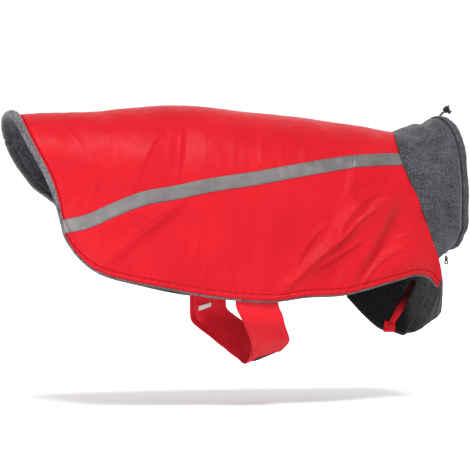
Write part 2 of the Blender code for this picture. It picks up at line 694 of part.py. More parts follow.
def zip_slider(materials, group, cutters):
    """Slider body, and the bail under it that holds the link."""
    slider = block("zip_slider", SLIDER, materials["steel"], group)
    slider.location = (HINGE_AT[0], 0.0, HINGE_AT[2] + SLIDER_RISE)
    slider.rotation_euler = (0.0, math.radians(-20.0), 0.0)
    add_bevel(slider, 0.0005, 2)
    turn = np.linspace(0, np.pi, 9)
    arch = [(HINGE_AT[0] - BAIL_REACH * math.cos(a), 0.0,
             HINGE_AT[2] + SLIDER_RISE - (SLIDER_RISE + BAIL_DROP) * math.sin(a)) for a in turn]
    bail = round_wire("zip_bail", arch, WIRE / 2, materials["steel"], cutters)
    bail.hide_render = True
    bail.display_type = "WIRE"
    joined = slider.modifiers.new("bail", "BOOLEAN")
    joined.operation = "UNION"
    joined.object = bail


def zip_pull(materials, group):
    """Wire link and pull tab; both hang from the hinge and swing together."""
    hinge = bpy.data.objects.new("zip_hinge", None)
    hinge.location = HINGE_AT
    group.objects.link(hinge)

    turn = np.linspace(0, 2 * np.pi, 15)[:-1]
    straight = (LINK_LENGTH - LINK_WIDTH) / 2
    loop = [(0.0, LINK_WIDTH / 2 * math.cos(a),
             LINK_WIDTH / 2 * math.sin(a) + math.copysign(straight, math.sin(a)) - LINK_LENGTH / 2)
            for a in turn]
    link = round_wire("zip_link", loop, WIRE / 2, materials["steel"], group, cyclic=True)
    link.parent = hinge

    half, top = PULL_WIDTH / 2, -LINK_LENGTH + 0.0019
    outline = [(-half * 0.55, top), (half * 0.55, top), (half, top - 0.0030),
               (half * 0.8, top - PULL_LENGTH + 2 * RING_RADIUS)]
    ring_z = top - PULL_LENGTH + RING_RADIUS
    arc = np.linspace(math.radians(52), math.radians(-232), 15)
    outline += [(RING_RADIUS * math.cos(a), ring_z + RING_RADIUS * math.sin(a)) for a in arc]
    outline += [(-half * 0.8, top - PULL_LENGTH + 2 * RING_RADIUS), (-half, top - 0.0030)]
    holes = [((0.0, ring_z), RING_HOLE, 12), ((0.0, -LINK_LENGTH), LINK_HOLE, 10)]
    tab = flat_plate("zip_pull", outline, holes, PULL_THICKNESS, materials["plastic_black"], group)
    tab.parent = hinge


def flat_plate(name, outline, holes, thickness, material, group):
    """A plate across Y, cut out along an outline in X and Z, with round holes."""
    curve = bpy.data.curves.new(name, "CURVE")
    curve.dimensions = "2D"
    curve.fill_mode = "BOTH"
    curve.extrude = thickness / 2
    rings = [outline]
    for (x, z), radius, count in holes:
        turn = np.linspace(0, 2 * np.pi, count + 1)[:-1]
        rings.append([(x + radius * math.cos(a), z + radius * math.sin(a)) for a in turn])
    for ring in rings:
        spline = curve.splines.new("POLY")
        spline.points.add(len(ring) - 1)
        for knot, (x, z) in zip(spline.points, ring):
            knot.co = (x, z, 0.0, 1.0)
        spline.use_cyclic_u = True
    plate = mesh_from_curve(name, curve, material, group)
    plate.rotation_euler = (math.radians(90.0), 0.0, 0.0)
    return plate


# ------------------------------------------------------------------ drawstring and stopper
def turned(name, profile, place, tilt, material, group, steps=16):
    """A turned piece: (radius, height) points down its outer side, spun about its own axis."""
    mesh = bpy.data.meshes.new(name)
    mesh.from_pydata([(r, 0.0, h) for r, h in profile], [(i, i + 1) for i in range(len(profile) - 1)], [])
    item = add_object(name, mesh, material, group)
    screw = item.modifiers.new("turn", "SCREW")
    screw.steps = screw.render_steps = steps
    screw.use_merge_vertices = True
    screw.merge_threshold = 0.00001
    item.location = place
    item.rotation_euler = (0.0, tilt, 0.0)
    return item


def cord_stopper(materials, group):
    axis = np.array([math.sin(STOPPER_TILT), 0.0, math.cos(STOPPER_TILT)])
    half = STOPPER_LENGTH / 2
    barrel = [(0.0, half), (STOPPER_RADIUS - 0.0008, half), (STOPPER_RADIUS, half - 0.0008),
              (STOPPER_RADIUS, -half + 0.0012), (STOPPER_RADIUS - 0.0012, -half), (0.0, -half)]
    turned("stopper_barrel", barrel, STOPPER_AT, STOPPER_TILT, materials["plastic_black"], group)
    button = [(0.0, BUTTON_LENGTH), (BUTTON_RADIUS - 0.0006, BUTTON_LENGTH),
              (BUTTON_RADIUS, BUTTON_LENGTH - 0.0006), (BUTTON_RADIUS, BUTTON_LENGTH - 0.0014),
              (BUTTON_NECK, 0.0008), (BUTTON_NECK, 0.0), (0.0, 0.0)]
    place = np.array(STOPPER_AT) + axis * (half + SEAM_GAP)
    turned("stopper_button", button, tuple(place), STOPPER_TILT, materials["plastic_black"], group)


def drawstring(materials, group):
    """Two strands out of the casing to the stopper, and the two free stubs beyond it."""
    across = np.array([-math.cos(STOPPER_TILT), 0.0, math.sin(STOPPER_TILT)])
    centre = np.array(STOPPER_AT)
    clear = STOPPER_RADIUS + SEAM_GAP
    exit_at = np.array(CORD_EXIT)
    for name, side in (("cord_near", NEAR), ("cord_far", FAR)):
        shift = np.array([0.0, side * STRAND_SPREAD, 0.0])
        enter = centre - across * clear + shift
        middle = (exit_at + enter) / 2 + shift * 0.4 + np.array([-0.0006, 0.0, 0.0008])
        ends = [exit_at + shift * 0.6, middle, enter]
        points = smooth(evenly(ends), np.linspace(0, 1, 7))
        round_wire(name, points, CORD_RADIUS, materials["textile_black"], group)
        leave = centre + across * clear + shift
        bend = np.array([0.0, side * 0.0008, 0.0])
        stub = [leave, leave + across * STUB_LENGTH * 0.5 + bend * 0.3, leave + across * STUB_LENGTH + bend]
        points = smooth(evenly(stub), np.linspace(0, 1, 5))
        round_wire(name + "_stub", points, CORD_RADIUS, materials["textile_black"], group)


# ------------------------------------------------------------------ the coat
def build():
    clear_scene()
    group = new_collection("dog_winter_coat")
    cutters = new_collection("cutters")
    materials = make_materials()
    body = body_grid()
    normals = grid_normals(body)
    shell_and_lining(body, normals, materials, group)
    reflective_stripes(body, normals, materials, group)
    edge_roll(body, normals, materials, group)
    collar(materials, group)
    casing(materials, group)
    chest_flap(materials, group)
    chest_tape(materials, group)
    belly_strap(materials, group)
    zip_tape(materials, group)
    zip_slider(materials, group, cutters)
    zip_pull(materials, group)
    cord_stopper(materials, group)
    drawstring(materials, group)


build()
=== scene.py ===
import math

import bmesh
import bpy
import numpy as np
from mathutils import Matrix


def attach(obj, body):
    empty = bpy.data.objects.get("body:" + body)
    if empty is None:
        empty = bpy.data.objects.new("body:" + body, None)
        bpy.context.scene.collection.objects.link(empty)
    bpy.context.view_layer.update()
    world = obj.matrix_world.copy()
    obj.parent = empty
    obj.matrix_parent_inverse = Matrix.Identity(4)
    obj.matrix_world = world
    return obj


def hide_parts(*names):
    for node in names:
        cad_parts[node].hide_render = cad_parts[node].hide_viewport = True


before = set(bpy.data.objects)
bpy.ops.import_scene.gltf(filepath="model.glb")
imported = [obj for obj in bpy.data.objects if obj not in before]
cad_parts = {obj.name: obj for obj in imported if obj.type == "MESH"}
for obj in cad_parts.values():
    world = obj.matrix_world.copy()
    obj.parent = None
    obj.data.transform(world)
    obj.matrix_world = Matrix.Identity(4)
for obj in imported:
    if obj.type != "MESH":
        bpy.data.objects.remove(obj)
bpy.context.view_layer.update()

# ---------------------------------------------------------------- floor, light and camera
# A white floor a little below the coat, an even sky that looks white, a soft key light from the
# near side above, two weak fills and a small low lamp in front, as in a small product studio.
# The camera is level, a little behind square-on.
FLOOR_REACH, FLOOR_HEIGHT = 60.0, -0.44
floor_mesh = bpy.data.meshes.new("studio_floor")
floor_mesh.from_pydata([(x * FLOOR_REACH, y * FLOOR_REACH, FLOOR_HEIGHT)
                        for x, y in ((-1, -1), (1, -1), (1, 1), (-1, 1))], [], [(0, 1, 2, 3)])
floor = bpy.data.objects.new("studio_floor", floor_mesh)
bpy.context.scene.collection.objects.link(floor)
paper = bpy.data.materials.new("studio_paper")
paper.use_nodes = True
paper_shader = paper.node_tree.nodes["Principled BSDF"]
paper_shader.inputs["Base Color"].default_value = (0.93, 0.93, 0.93, 1)
paper_shader.inputs["Roughness"].default_value = 0.9
paper_shader.inputs["Specular IOR Level"].default_value = 0.1
floor_mesh.materials.append(paper)

sky = bpy.data.worlds.new("studio_sky")
bpy.context.scene.world = sky
sky.use_nodes = True
dim = sky.node_tree.nodes["Background"]
dim.inputs["Strength"].default_value = 0.42
bright = sky.node_tree.nodes.new("ShaderNodeBackground")
bright.inputs["Strength"].default_value = 0.66
for background in (dim, bright):
    background.inputs["Color"].default_value = (1, 1, 1, 1)
seen = sky.node_tree.nodes.new("ShaderNodeLightPath")
pick = sky.node_tree.nodes.new("ShaderNodeMixShader")
sky.node_tree.links.new(seen.outputs["Is Camera Ray"], pick.inputs[0])
sky.node_tree.links.new(dim.outputs[0], pick.inputs[1])
sky.node_tree.links.new(bright.outputs[0], pick.inputs[2])
sky.node_tree.links.new(pick.outputs[0], sky.node_tree.nodes["World Output"].inputs["Surface"])


def soft_sun(name, way, breadth, strength):
    """A distant lamp whose light comes from a direction, as broad as an angle in degrees."""
    light = bpy.data.lights.new(name, "SUN")
    light.angle = math.radians(breadth)
    light.energy = strength
    lamp = bpy.data.objects.new(name, light)
    x, y, z = np.array(way) / np.linalg.norm(way)
    lamp.rotation_euler = (math.acos(z), 0.0, math.atan2(x, -y))
    bpy.context.scene.collection.objects.link(lamp)


soft_sun("key", (-0.10, -0.64, 0.78), 20.0, 2.10)
soft_sun("front_fill", (0.32, -1.0, 0.06), 60.0, 0.52)
soft_sun("back_fill", (0.45, 1.0, 0.55), 60.0, 0.35)
low_light = bpy.data.lights.new("low_front", "AREA")
low_light.size = 0.5
low_light.energy = 5.5
low_lamp = bpy.data.objects.new("low_front", low_light)
low_lamp.location = (-0.95, -1.00, -0.38)
low_lamp.rotation_euler = (math.radians(92.0), 0.0, math.radians(-42.0))
low_lamp.visible_camera = False
bpy.context.scene.collection.objects.link(low_lamp)

TURN, AIM, DISTANCE = math.radians(18.0), (0.0, 0.0, -0.183), 3.3
SENSOR, FOCAL_PIXELS, PICTURE_PIXELS = 36.0, 2200.0, 470.0
lens = bpy.data.cameras.new("camera")
lens.sensor_width = SENSOR
lens.lens = SENSOR * FOCAL_PIXELS / PICTURE_PIXELS
lens.clip_end = 200.0
camera = bpy.data.objects.new("camera", lens)
camera.location = (AIM[0] - DISTANCE * math.sin(TURN), AIM[1] - DISTANCE * math.cos(TURN), AIM[2])
camera.rotation_euler = (math.pi / 2, 0.0, -TURN)
bpy.context.scene.collection.objects.link(camera)
bpy.context.scene.camera = camera
bpy.context.scene.view_settings.view_transform = "Standard"
bpy.context.scene.view_settings.exposure = 0.8

# ---------------------------------------------------------------- shell
# One panel of red coated nylon over the back and both sides, cut to run from the tail edge to
# the neck seam and sewn to its lining along every edge, with a topstitched hem along the belly.
BACK_LENGTH, TAIL_X = 0.5864, -0.3346
SHELL_WALL, SEAM_GAP, LINING_WALL = 0.0012, 0.0004, 0.0028
SIDE_ROW, BACK_ROUNDNESS, LEAN_FADE = 0.57, 0.95, 2.0
HEM_ALLOWANCE = 0.0080          # from the shell's edge up to its topstitching
PUCKER_PITCH = 0.0125           # of the gathers along the topstitching
TAIL_ALLOWANCE = 0.0036         # from the tail edge to the roll's seam
FAR_SHIFT = (0.009, 0.004)      # how far the far side's creases lie from the near side's

# s along the back, height of the spine, height of the widest line, half width
BACK_LINE = [
    (0.000, -0.0076, -0.105, 0.075),
    (0.110, -0.0040, -0.110, 0.085),
    (0.215, -0.0011, -0.116, 0.094),
    (0.280, 0.0040, -0.120, 0.099),
    (0.350, 0.0076, -0.125, 0.104),
    (0.410, 0.0100, -0.128, 0.108),
    (0.470, 0.0088, -0.131, 0.111),
    (0.557, 0.0043, -0.134, 0.114),
    (0.640, 0.0002, -0.136, 0.114),
    (0.753, -0.0055, -0.138, 0.111),
    (0.825, -0.0109, -0.138, 0.106),
    (0.915, -0.0169, -0.138, 0.095),
    (0.953, -0.0212, -0.138, 0.088),
    (1.000, -0.0254, -0.138, 0.080),
]
# s, half width at the hem, height of the hem
HEM_LINE = [
    (0.000, 0.069, -0.1830),
    (0.013, 0.071, -0.1975),
    (0.050, 0.080, -0.2245),
    (0.091, 0.088, -0.2390),
    (0.125, 0.093, -0.2450),
    (0.223, 0.101, -0.2570),
    (0.386, 0.108, -0.2735),
    (0.530, 0.110, -0.2782),
    (0.591, 0.110, -0.2732),
    (0.712, 0.108, -0.2693),
    (0.758, 0.104, -0.2640),
    (0.807, 0.098, -0.2570),
    (0.867, 0.088, -0.2490),
    (0.924, 0.075, -0.2425),
    (0.956, 0.065, -0.2445),
    (0.978, 0.057, -0.2500),
    (1.000, 0.050, -0.2630),
]
# row t, how far forward it lies of the spine: near tail edge, extra on the far one, neck seam
EDGE_LEAN = [
    (0.00, 0.0000, 0.000, 0.0000),
    (0.04, 0.0000, 0.000, -0.0008),
    (0.14, 0.0002, 0.000, -0.0070),
    (0.26, 0.0035, 0.001, -0.0105),
    (0.37, 0.0110, 0.003, -0.0090),
    (0.45, 0.0200, 0.005, -0.0015),
    (0.57, 0.0355, 0.013, 0.0145),
    (0.66, 0.0420, 0.024, 0.0265),
    (0.75, 0.0470, 0.034, 0.0385),
    (0.85, 0.0510, 0.041, 0.0527),
    (0.90, 0.0530, 0.044, 0.0580),
    (0.95, 0.0550, 0.046, 0.0600),
    (1.00, 0.0565, 0.048, 0.0570),
]
# large folds seen from the side: start, middle, end (x, z), width, depth (minus is a trough)
FOLDS = [
    ("neck_to_strap", (0.255, -0.125), (0.165, -0.150), (0.110, -0.205), 0.019, 0.0055),
    ("strap_end", (0.110, -0.205), (0.080, -0.238), (0.035, -0.268), 0.019, 0.0040),
    ("over_neck_to_strap", (0.248, -0.110), (0.180, -0.125), (0.115, -0.172), 0.020, -0.0045),
    ("under_neck_to_strap", (0.225, -0.155), (0.165, -0.200), (0.080, -0.260), 0.022, -0.0050),
    ("shoulder_valley", (0.235, -0.170), (0.205, -0.200), (0.150, -0.245), 0.020, -0.0035),
    ("back_peak", (-0.092, -0.010), (-0.105, -0.060), (-0.121, -0.100), 0.021, -0.0030),
    ("rump", (-0.136, -0.034), (-0.162, -0.070), (-0.186, -0.113), 0.020, 0.0030),
    ("flank", (-0.138, -0.150), (-0.175, -0.185), (-0.215, -0.215), 0.021, -0.0035),
    ("waist_front", (-0.014, -0.180), (-0.018, -0.220), (-0.026, -0.258), 0.022, -0.0035),
    ("waist_rear", (-0.064, -0.150), (-0.066, -0.200), (-0.064, -0.246), 0.022, -0.0030),
    ("tail_top", (-0.300, -0.020), (-0.262, -0.036), (-0.243, -0.060), 0.020, -0.0025),
]
# creases in the nylon, seen from the side: start, middle, end (x, z), how far they reach on the
# right and on the left of that way, height (minus is a trough)
CREASES = [
    ("neck_ridge", (0.249, -0.120), (0.179, -0.147), (0.115, -0.202), 0.005, 0.004, 0.0032),
    ("neck_valley", (0.240, -0.116), (0.169, -0.131), (0.121, -0.184), 0.018, 0.009, 0.0057),
    ("strap_wedge", (0.142, -0.177), (0.090, -0.217), (0.032, -0.270), 0.014, 0.010, 0.0070),
    ("second_line", (0.166, -0.189), (0.134, -0.208), (0.085, -0.234), 0.008, 0.006, 0.0038),
    ("front_plane", (0.209, -0.143), (0.186, -0.187), (0.143, -0.260), 0.030, 0.020, 0.0070),
    ("front_foot", (0.231, -0.143), (0.214, -0.193), (0.156, -0.249), 0.020, 0.026, -0.0061),
    ("elbow_ridge", (0.238, -0.204), (0.200, -0.220), (0.165, -0.257), 0.006, 0.006, 0.0041),
    ("shoulder_streak", (0.153, -0.088), (0.138, -0.136), (0.110, -0.201), 0.012, 0.032, 0.0029),
    ("shoulder_dip", (0.210, -0.107), (0.178, -0.131), (0.153, -0.124), 0.014, 0.010, -0.0034),
    ("shoulder_tick", (0.144, -0.093), (0.136, -0.126), (0.116, -0.149), 0.004, 0.004, 0.0009),
    ("neck_tick_a", (0.267, -0.181), (0.247, -0.182), (0.228, -0.189), 0.004, 0.005, 0.0018),
    ("neck_tick_b", (0.267, -0.218), (0.251, -0.210), (0.234, -0.217), 0.004, 0.004, 0.0015),
    ("neck_tick_c", (0.271, -0.230), (0.253, -0.226), (0.237, -0.235), 0.004, 0.004, 0.0013),
    ("elbow_streak", (0.108, -0.168), (0.080, -0.190), (0.053, -0.238), 0.010, 0.006, 0.0029),
    ("elbow_fan", (0.082, -0.164), (0.065, -0.195), (0.043, -0.231), 0.010, 0.012, 0.0012),
    ("waist_front", (-0.020, -0.145), (-0.021, -0.199), (-0.023, -0.264), 0.011, 0.018, 0.0023),
    ("waist_small", (0.017, -0.163), (0.019, -0.195), (0.021, -0.237), 0.010, 0.008, 0.0012),
    ("waist_high", (0.038, -0.110), (0.041, -0.142), (0.034, -0.193), 0.012, 0.020, 0.0016),
    ("waist_rear", (-0.060, -0.124), (-0.059, -0.170), (-0.068, -0.225), 0.014, 0.020, 0.0020),
    ("waist_tick", (-0.086, -0.177), (-0.094, -0.205), (-0.103, -0.238), 0.008, 0.006, 0.0012),
    ("waist_far_rear", (-0.111, -0.184), (-0.119, -0.210), (-0.128, -0.236), 0.010, 0.008, 0.0009),
    ("hem_pucker_a", (-0.047, -0.218), (-0.043, -0.237), (-0.037, -0.260), 0.004, 0.004, 0.0011),
    ("hem_pucker_b", (-0.019, -0.235), (-0.013, -0.250), (-0.007, -0.269), 0.004, 0.004, 0.0011),
    ("hem_pucker_c", (0.007, -0.231), (0.007, -0.251), (0.006, -0.272), 0.005, 0.004, 0.0011),
    ("hem_pucker_d", (-0.078, -0.228), (-0.083, -0.245), (-0.086, -0.262), 0.005, 0.004, 0.0010),
    ("hem_pucker_e", (-0.146, -0.228), (-0.136, -0.240), (-0.123, -0.258), 0.004, 0.004, 0.0012),
    ("hem_pucker_f", (0.098, -0.239), (0.108, -0.253), (0.111, -0.267), 0.005, 0.004, 0.0011),
    ("hem_pucker_g", (0.134, -0.232), (0.130, -0.248), (0.127, -0.262), 0.005, 0.004, 0.0010),
    ("rump_crease", (-0.136, -0.031), (-0.162, -0.067), (-0.184, -0.120), 0.016, 0.006, 0.0021),
    ("rump_dim", (-0.170, -0.046), (-0.196, -0.083), (-0.217, -0.127), 0.020, 0.020, 0.0017),
    ("leaf_left", (-0.102, -0.003), (-0.128, -0.053), (-0.121, -0.102), 0.010, 0.010, 0.0009),
    ("leaf_fold", (-0.100, -0.003), (-0.112, -0.053), (-0.119, -0.104), 0.006, 0.005, 0.0011),
    ("leaf_right", (-0.097, -0.003), (-0.103, -0.054), (-0.116, -0.107), 0.006, 0.012, -0.0009),
    ("rear_notch", (-0.203, -0.052), (-0.197, -0.068), (-0.194, -0.086), 0.007, 0.004, 0.0008),
    ("hip_front", (-0.228, -0.097), (-0.238, -0.119), (-0.248, -0.144), 0.008, 0.005, 0.0014),
    ("hip_rear", (-0.251, -0.124), (-0.259, -0.134), (-0.267, -0.146), 0.008, 0.004, 0.0013),
    ("hip_tick", (-0.246, -0.076), (-0.241, -0.084), (-0.244, -0.099), 0.004, 0.004, 0.0009),
    ("tail_long", (-0.279, -0.017), (-0.267, -0.037), (-0.255, -0.054), 0.004, 0.005, 0.0005),
    ("tail_short", (-0.249, -0.018), (-0.239, -0.042), (-0.231, -0.064), 0.004, 0.005, 0.0005),
    ("flank_band", (-0.111, -0.135), (-0.157, -0.170), (-0.220, -0.222), 0.026, 0.013, 0.0059),
    ("flank_line", (-0.134, -0.144), (-0.170, -0.172), (-0.206, -0.207), 0.006, 0.003, 0.0012),
    ("flank_dim", (-0.162, -0.144), (-0.214, -0.164), (-0.266, -0.190), 0.020, 0.034, 0.0049),
    ("back_streak", (-0.064, -0.004), (-0.077, -0.048), (-0.081, -0.088), 0.004, 0.016, 0.0009),
    ("back_soft", (-0.023, -0.026), (-0.031, -0.054), (-0.037, -0.083), 0.010, 0.010, 0.0007),
    ("back_soft_b", (0.010, -0.023), (0.009, -0.055), (0.002, -0.086), 0.007, 0.010, 0.0008),
    ("back_soft_c", (0.091, -0.032), (0.080, -0.055), (0.070, -0.078), 0.010, 0.012, 0.0008),
    ("stripe_end", (-0.282, -0.160), (-0.277, -0.170), (-0.272, -0.180), 0.006, 0.004, -0.0017),
]


def read_table(table, at):
    """Values of a table at stations `at`: cubic through its rows, whose first column is the
    station and whose slopes are the differences of the rows round it."""
    rows = np.array(table, dtype=float)
    key, value = rows[:, 0], rows[:, 1:]
    slope = np.gradient(value, key, axis=0)
    at = np.clip(np.asarray(at, dtype=float), key[0], key[-1])
    k = np.clip(np.searchsorted(key, at, side="right") - 1, 0, len(key) - 2)
    span = key[k + 1] - key[k]
    u = ((at - key[k]) / span)[..., None]
    span = span[..., None]
    return (value[k] * (1 + 2 * u) * (1 - u) ** 2 + slope[k] * span * u * (1 - u) ** 2
            + value[k + 1] * (3 - 2 * u) * u ** 2 + slope[k + 1] * span * u ** 2 * (u - 1))


def unit(vectors):
    """Each vector over its own length."""
    return vectors / np.maximum(np.linalg.norm(vectors, axis=-1, keepdims=True), 1e-9)


def hump(x, centre, width):
    """1 at the centre, and falling on both sides as e to minus distance over width squared."""
    return np.exp(-((x - centre) / width) ** 2)


def run_along(points, axis=0):
    """How far each point of a line or grid is from the first of its line along an axis."""
    step = np.linalg.norm(np.diff(points, axis=axis), axis=-1)
    return np.insert(np.cumsum(step, axis=axis), 0, 0.0, axis=axis)


def grid_of(down, over):
    """Every pair of a value of one list and a value of another, as a grid."""
    return np.stack(np.meshgrid(down, over, indexing="ij"), axis=-1)


def face_normals(points, loop=False):
    """Normal of a grid: its way along rows crossed with its way along columns.  On a loop the
    last column repeats the first."""
    along, across = np.gradient(points, axis=0), np.gradient(points, axis=1)
    if loop:
        across[:, 0] = across[:, -1] = (points[:, 1] - points[:, -2]) / 2
    return unit(np.cross(along, across))


def panel_surface(s, t):
    """The panel before its folds: a rounded arch over the back, of cosine height and sine
    width to a power, then a side that falls straight to the hem, leaning forward by the table."""
    down, side = np.abs(t), np.where(t < 0, -1.0, 1.0)
    spine_z, side_z, half_width = np.moveaxis(read_table(BACK_LINE, s), -1, 0)
    hem_y, hem_z = np.moveaxis(read_table(HEM_LINE, s), -1, 0)
    near_lean, far_lean, neck_lean = np.moveaxis(read_table(EDGE_LEAN, down), -1, 0)
    turn = np.clip(down / SIDE_ROW, 0, 1) * math.pi / 2
    drop = np.clip((down - SIDE_ROW) / (1 - SIDE_ROW), 0, 1)
    y = half_width * np.sin(turn) ** BACK_ROUNDNESS - (half_width - hem_y) * drop ** 1.3
    z = side_z + (spine_z - side_z) * np.cos(turn) ** BACK_ROUNDNESS + (hem_z - side_z) * drop
    lean = near_lean + np.where(side > 0, far_lean * (1 - s) ** LEAN_FADE, 0.0)
    x = TAIL_X + BACK_LENGTH * s + (1 - s) * lean + s * neck_lean
    return np.stack([x, side * y, z], axis=-1)


def bank(x, z, start, middle, end, right, left, facet=True):
    """Height 1 along a bent line through three points, with its own reach on either hand, and
    fading to 0 at both ends.  A facet falls nearly straight, as 1 minus distance over reach to
    the power 1.4, and ends there; a soft one falls as e to minus that share squared."""
    way = np.linspace(0, 1, 25)
    control = 2 * np.array(middle) - (np.array(start) + np.array(end)) / 2
    line = (np.outer((1 - way) ** 2, start) + np.outer(2 * way * (1 - way), control)
            + np.outer(way ** 2, end))
    reach = (1 if facet else 2.6) * max(right, left)
    low, high = line.min(axis=0) - reach, line.max(axis=0) + reach
    near = (x > low[0]) & (x < high[0]) & (z > low[1]) & (z < high[1])
    place = np.stack([x[near], z[near]], axis=-1)[:, None] - line[:-1]
    step = np.diff(line, axis=0)
    length = np.linalg.norm(step, axis=-1)
    on = np.clip((place * step).sum(axis=-1) / length ** 2, 0, 1)
    aside = place - on[..., None] * step
    gap = np.linalg.norm(aside, axis=-1)
    k = np.argmin(gap, axis=1)
    pick = np.arange(len(k))
    hand = step[k, 0] * aside[pick, k, 1] - step[k, 1] * aside[pick, k, 0]
    share = gap[pick, k] / np.where(hand > 0, left, right)
    along = (k + on[pick, k]) / len(step)
    fade = np.clip(np.sin(np.pi * np.clip(along * 0.94 + 0.04, 0, 1)), 0, 1) ** 0.4
    height = np.zeros_like(x)
    if facet:
        rounded = np.sqrt(share ** 2 + 0.01) - 0.1
        height[near] = fade * np.clip(1 - rounded, 0, 1) ** 1.4
    else:
        height[near] = fade * hump(share, 0, 1)
    return height


rng = np.random.default_rng(7)
RIPPLES = rng.normal(size=(14, 3)), rng.uniform(0, 2 * np.pi, 14)


def ripple(points, wavelength):
    """Soft uneven waves: the mean of fourteen sines of fixed random ways and phases."""
    ways, phases = RIPPLES
    angle = points @ unit(ways).T * (2 * np.pi / wavelength) + phases
    return np.sin(angle).sum(axis=-1) / 14 ** 0.5


def fold_height(points, t):
    """Height of all folds and creases.  The far side has the same ones a little further on."""
    x = points[..., 0] + np.where(t > 0, FAR_SHIFT[0], 0.0)
    z = points[..., 2] + np.where(t > 0, FAR_SHIFT[1], 0.0)
    total = np.zeros(x.shape)
    for _, start, middle, end, width, depth in FOLDS:
        total += depth * bank(points[..., 0], points[..., 2], start, middle, end, width, width,
                              facet=False)
    for _, start, middle, end, right, left, height in CREASES:
        total += height * bank(x, z, start, middle, end, right, left)
    total *= np.clip(np.abs(t) / 0.25, 0, 1)
    total += 0.00042 * ripple(points, 0.055) + 0.00020 * ripple(points * (1, 1, 0.5), 0.019)
    return total


def hem_distance(points):
    """How far each point of a grid is from the hem, along its own column."""
    run = run_along(points, axis=1)
    return np.minimum(run, run[:, -1:] - run)


def coat_surface(s, t):
    """The panel with its folds: each point moved out along the panel's own normal."""
    step = 2e-3
    flat = panel_surface(s, t)
    ahead = panel_surface(np.minimum(s + step, 1), t) - panel_surface(np.maximum(s - step, 0), t)
    over = (panel_surface(s, np.minimum(t + step, 1)) - panel_surface(s, np.maximum(t - step, -1)))
    return flat + unit(np.cross(ahead, over)) * fold_height(flat, t)[..., None]


def quads(grid):
    """The four corners of each cell of a grid, in the order that faces look along its normal."""
    return np.stack([grid[:-1, :-1], grid[1:, :-1], grid[1:, 1:], grid[:-1, 1:]], axis=2)


def placed(mesh, finish):
    """A finished mesh of one material, as an object of the same name that rides with the coat."""
    mesh.materials.append(finish.material)
    piece = bpy.data.objects.new(mesh.name, mesh)
    bpy.context.scene.collection.objects.link(piece)
    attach(piece, "coat")
    return piece


def place_mesh(name, points, uv, finish, loop=False, weld=False):
    """A mesh of quads through one or more grids of points, whose faces look along the normal
    of face_normals.  uv gives each point's place on the cloth in metres."""
    grids = points if isinstance(points, list) else [points]
    maps = uv if isinstance(uv, list) else [uv]
    corners, faces, spots, count = [], [], [], 0
    for grid, cloth in zip(grids, maps):
        own = grid.shape[1] - 1 if loop else grid.shape[1]
        index = np.arange(grid.shape[0] * own).reshape(grid.shape[0], own) + count
        if loop:
            index = np.concatenate([index, index[:, :1]], axis=1)
        faces.append(quads(index).reshape(-1, 4))
        spots.append(quads(cloth).reshape(-1, 2))
        corners.append(grid[:, :own].reshape(-1, 3))
        count += grid.shape[0] * own
    mesh = bpy.data.meshes.new(name)
    mesh.from_pydata(np.concatenate(corners), [], np.concatenate(faces))
    mesh.uv_layers.new(name="cloth").data.foreach_set("uv", np.concatenate(spots).ravel())
    if weld:
        shape = bmesh.new()
        shape.from_mesh(mesh)
        bmesh.ops.remove_doubles(shape, verts=shape.verts, dist=1e-6)
        shape.to_mesh(mesh)
        shape.free()
    mesh.shade_smooth()
    return placed(mesh, finish)


def cloth_places(points):
    """Each point's place on the cloth: its run along the middle column and its middle row."""
    return grid_of(run_along(points[:, points.shape[1] // 2]),
                   run_along(points[points.shape[0] // 2]))


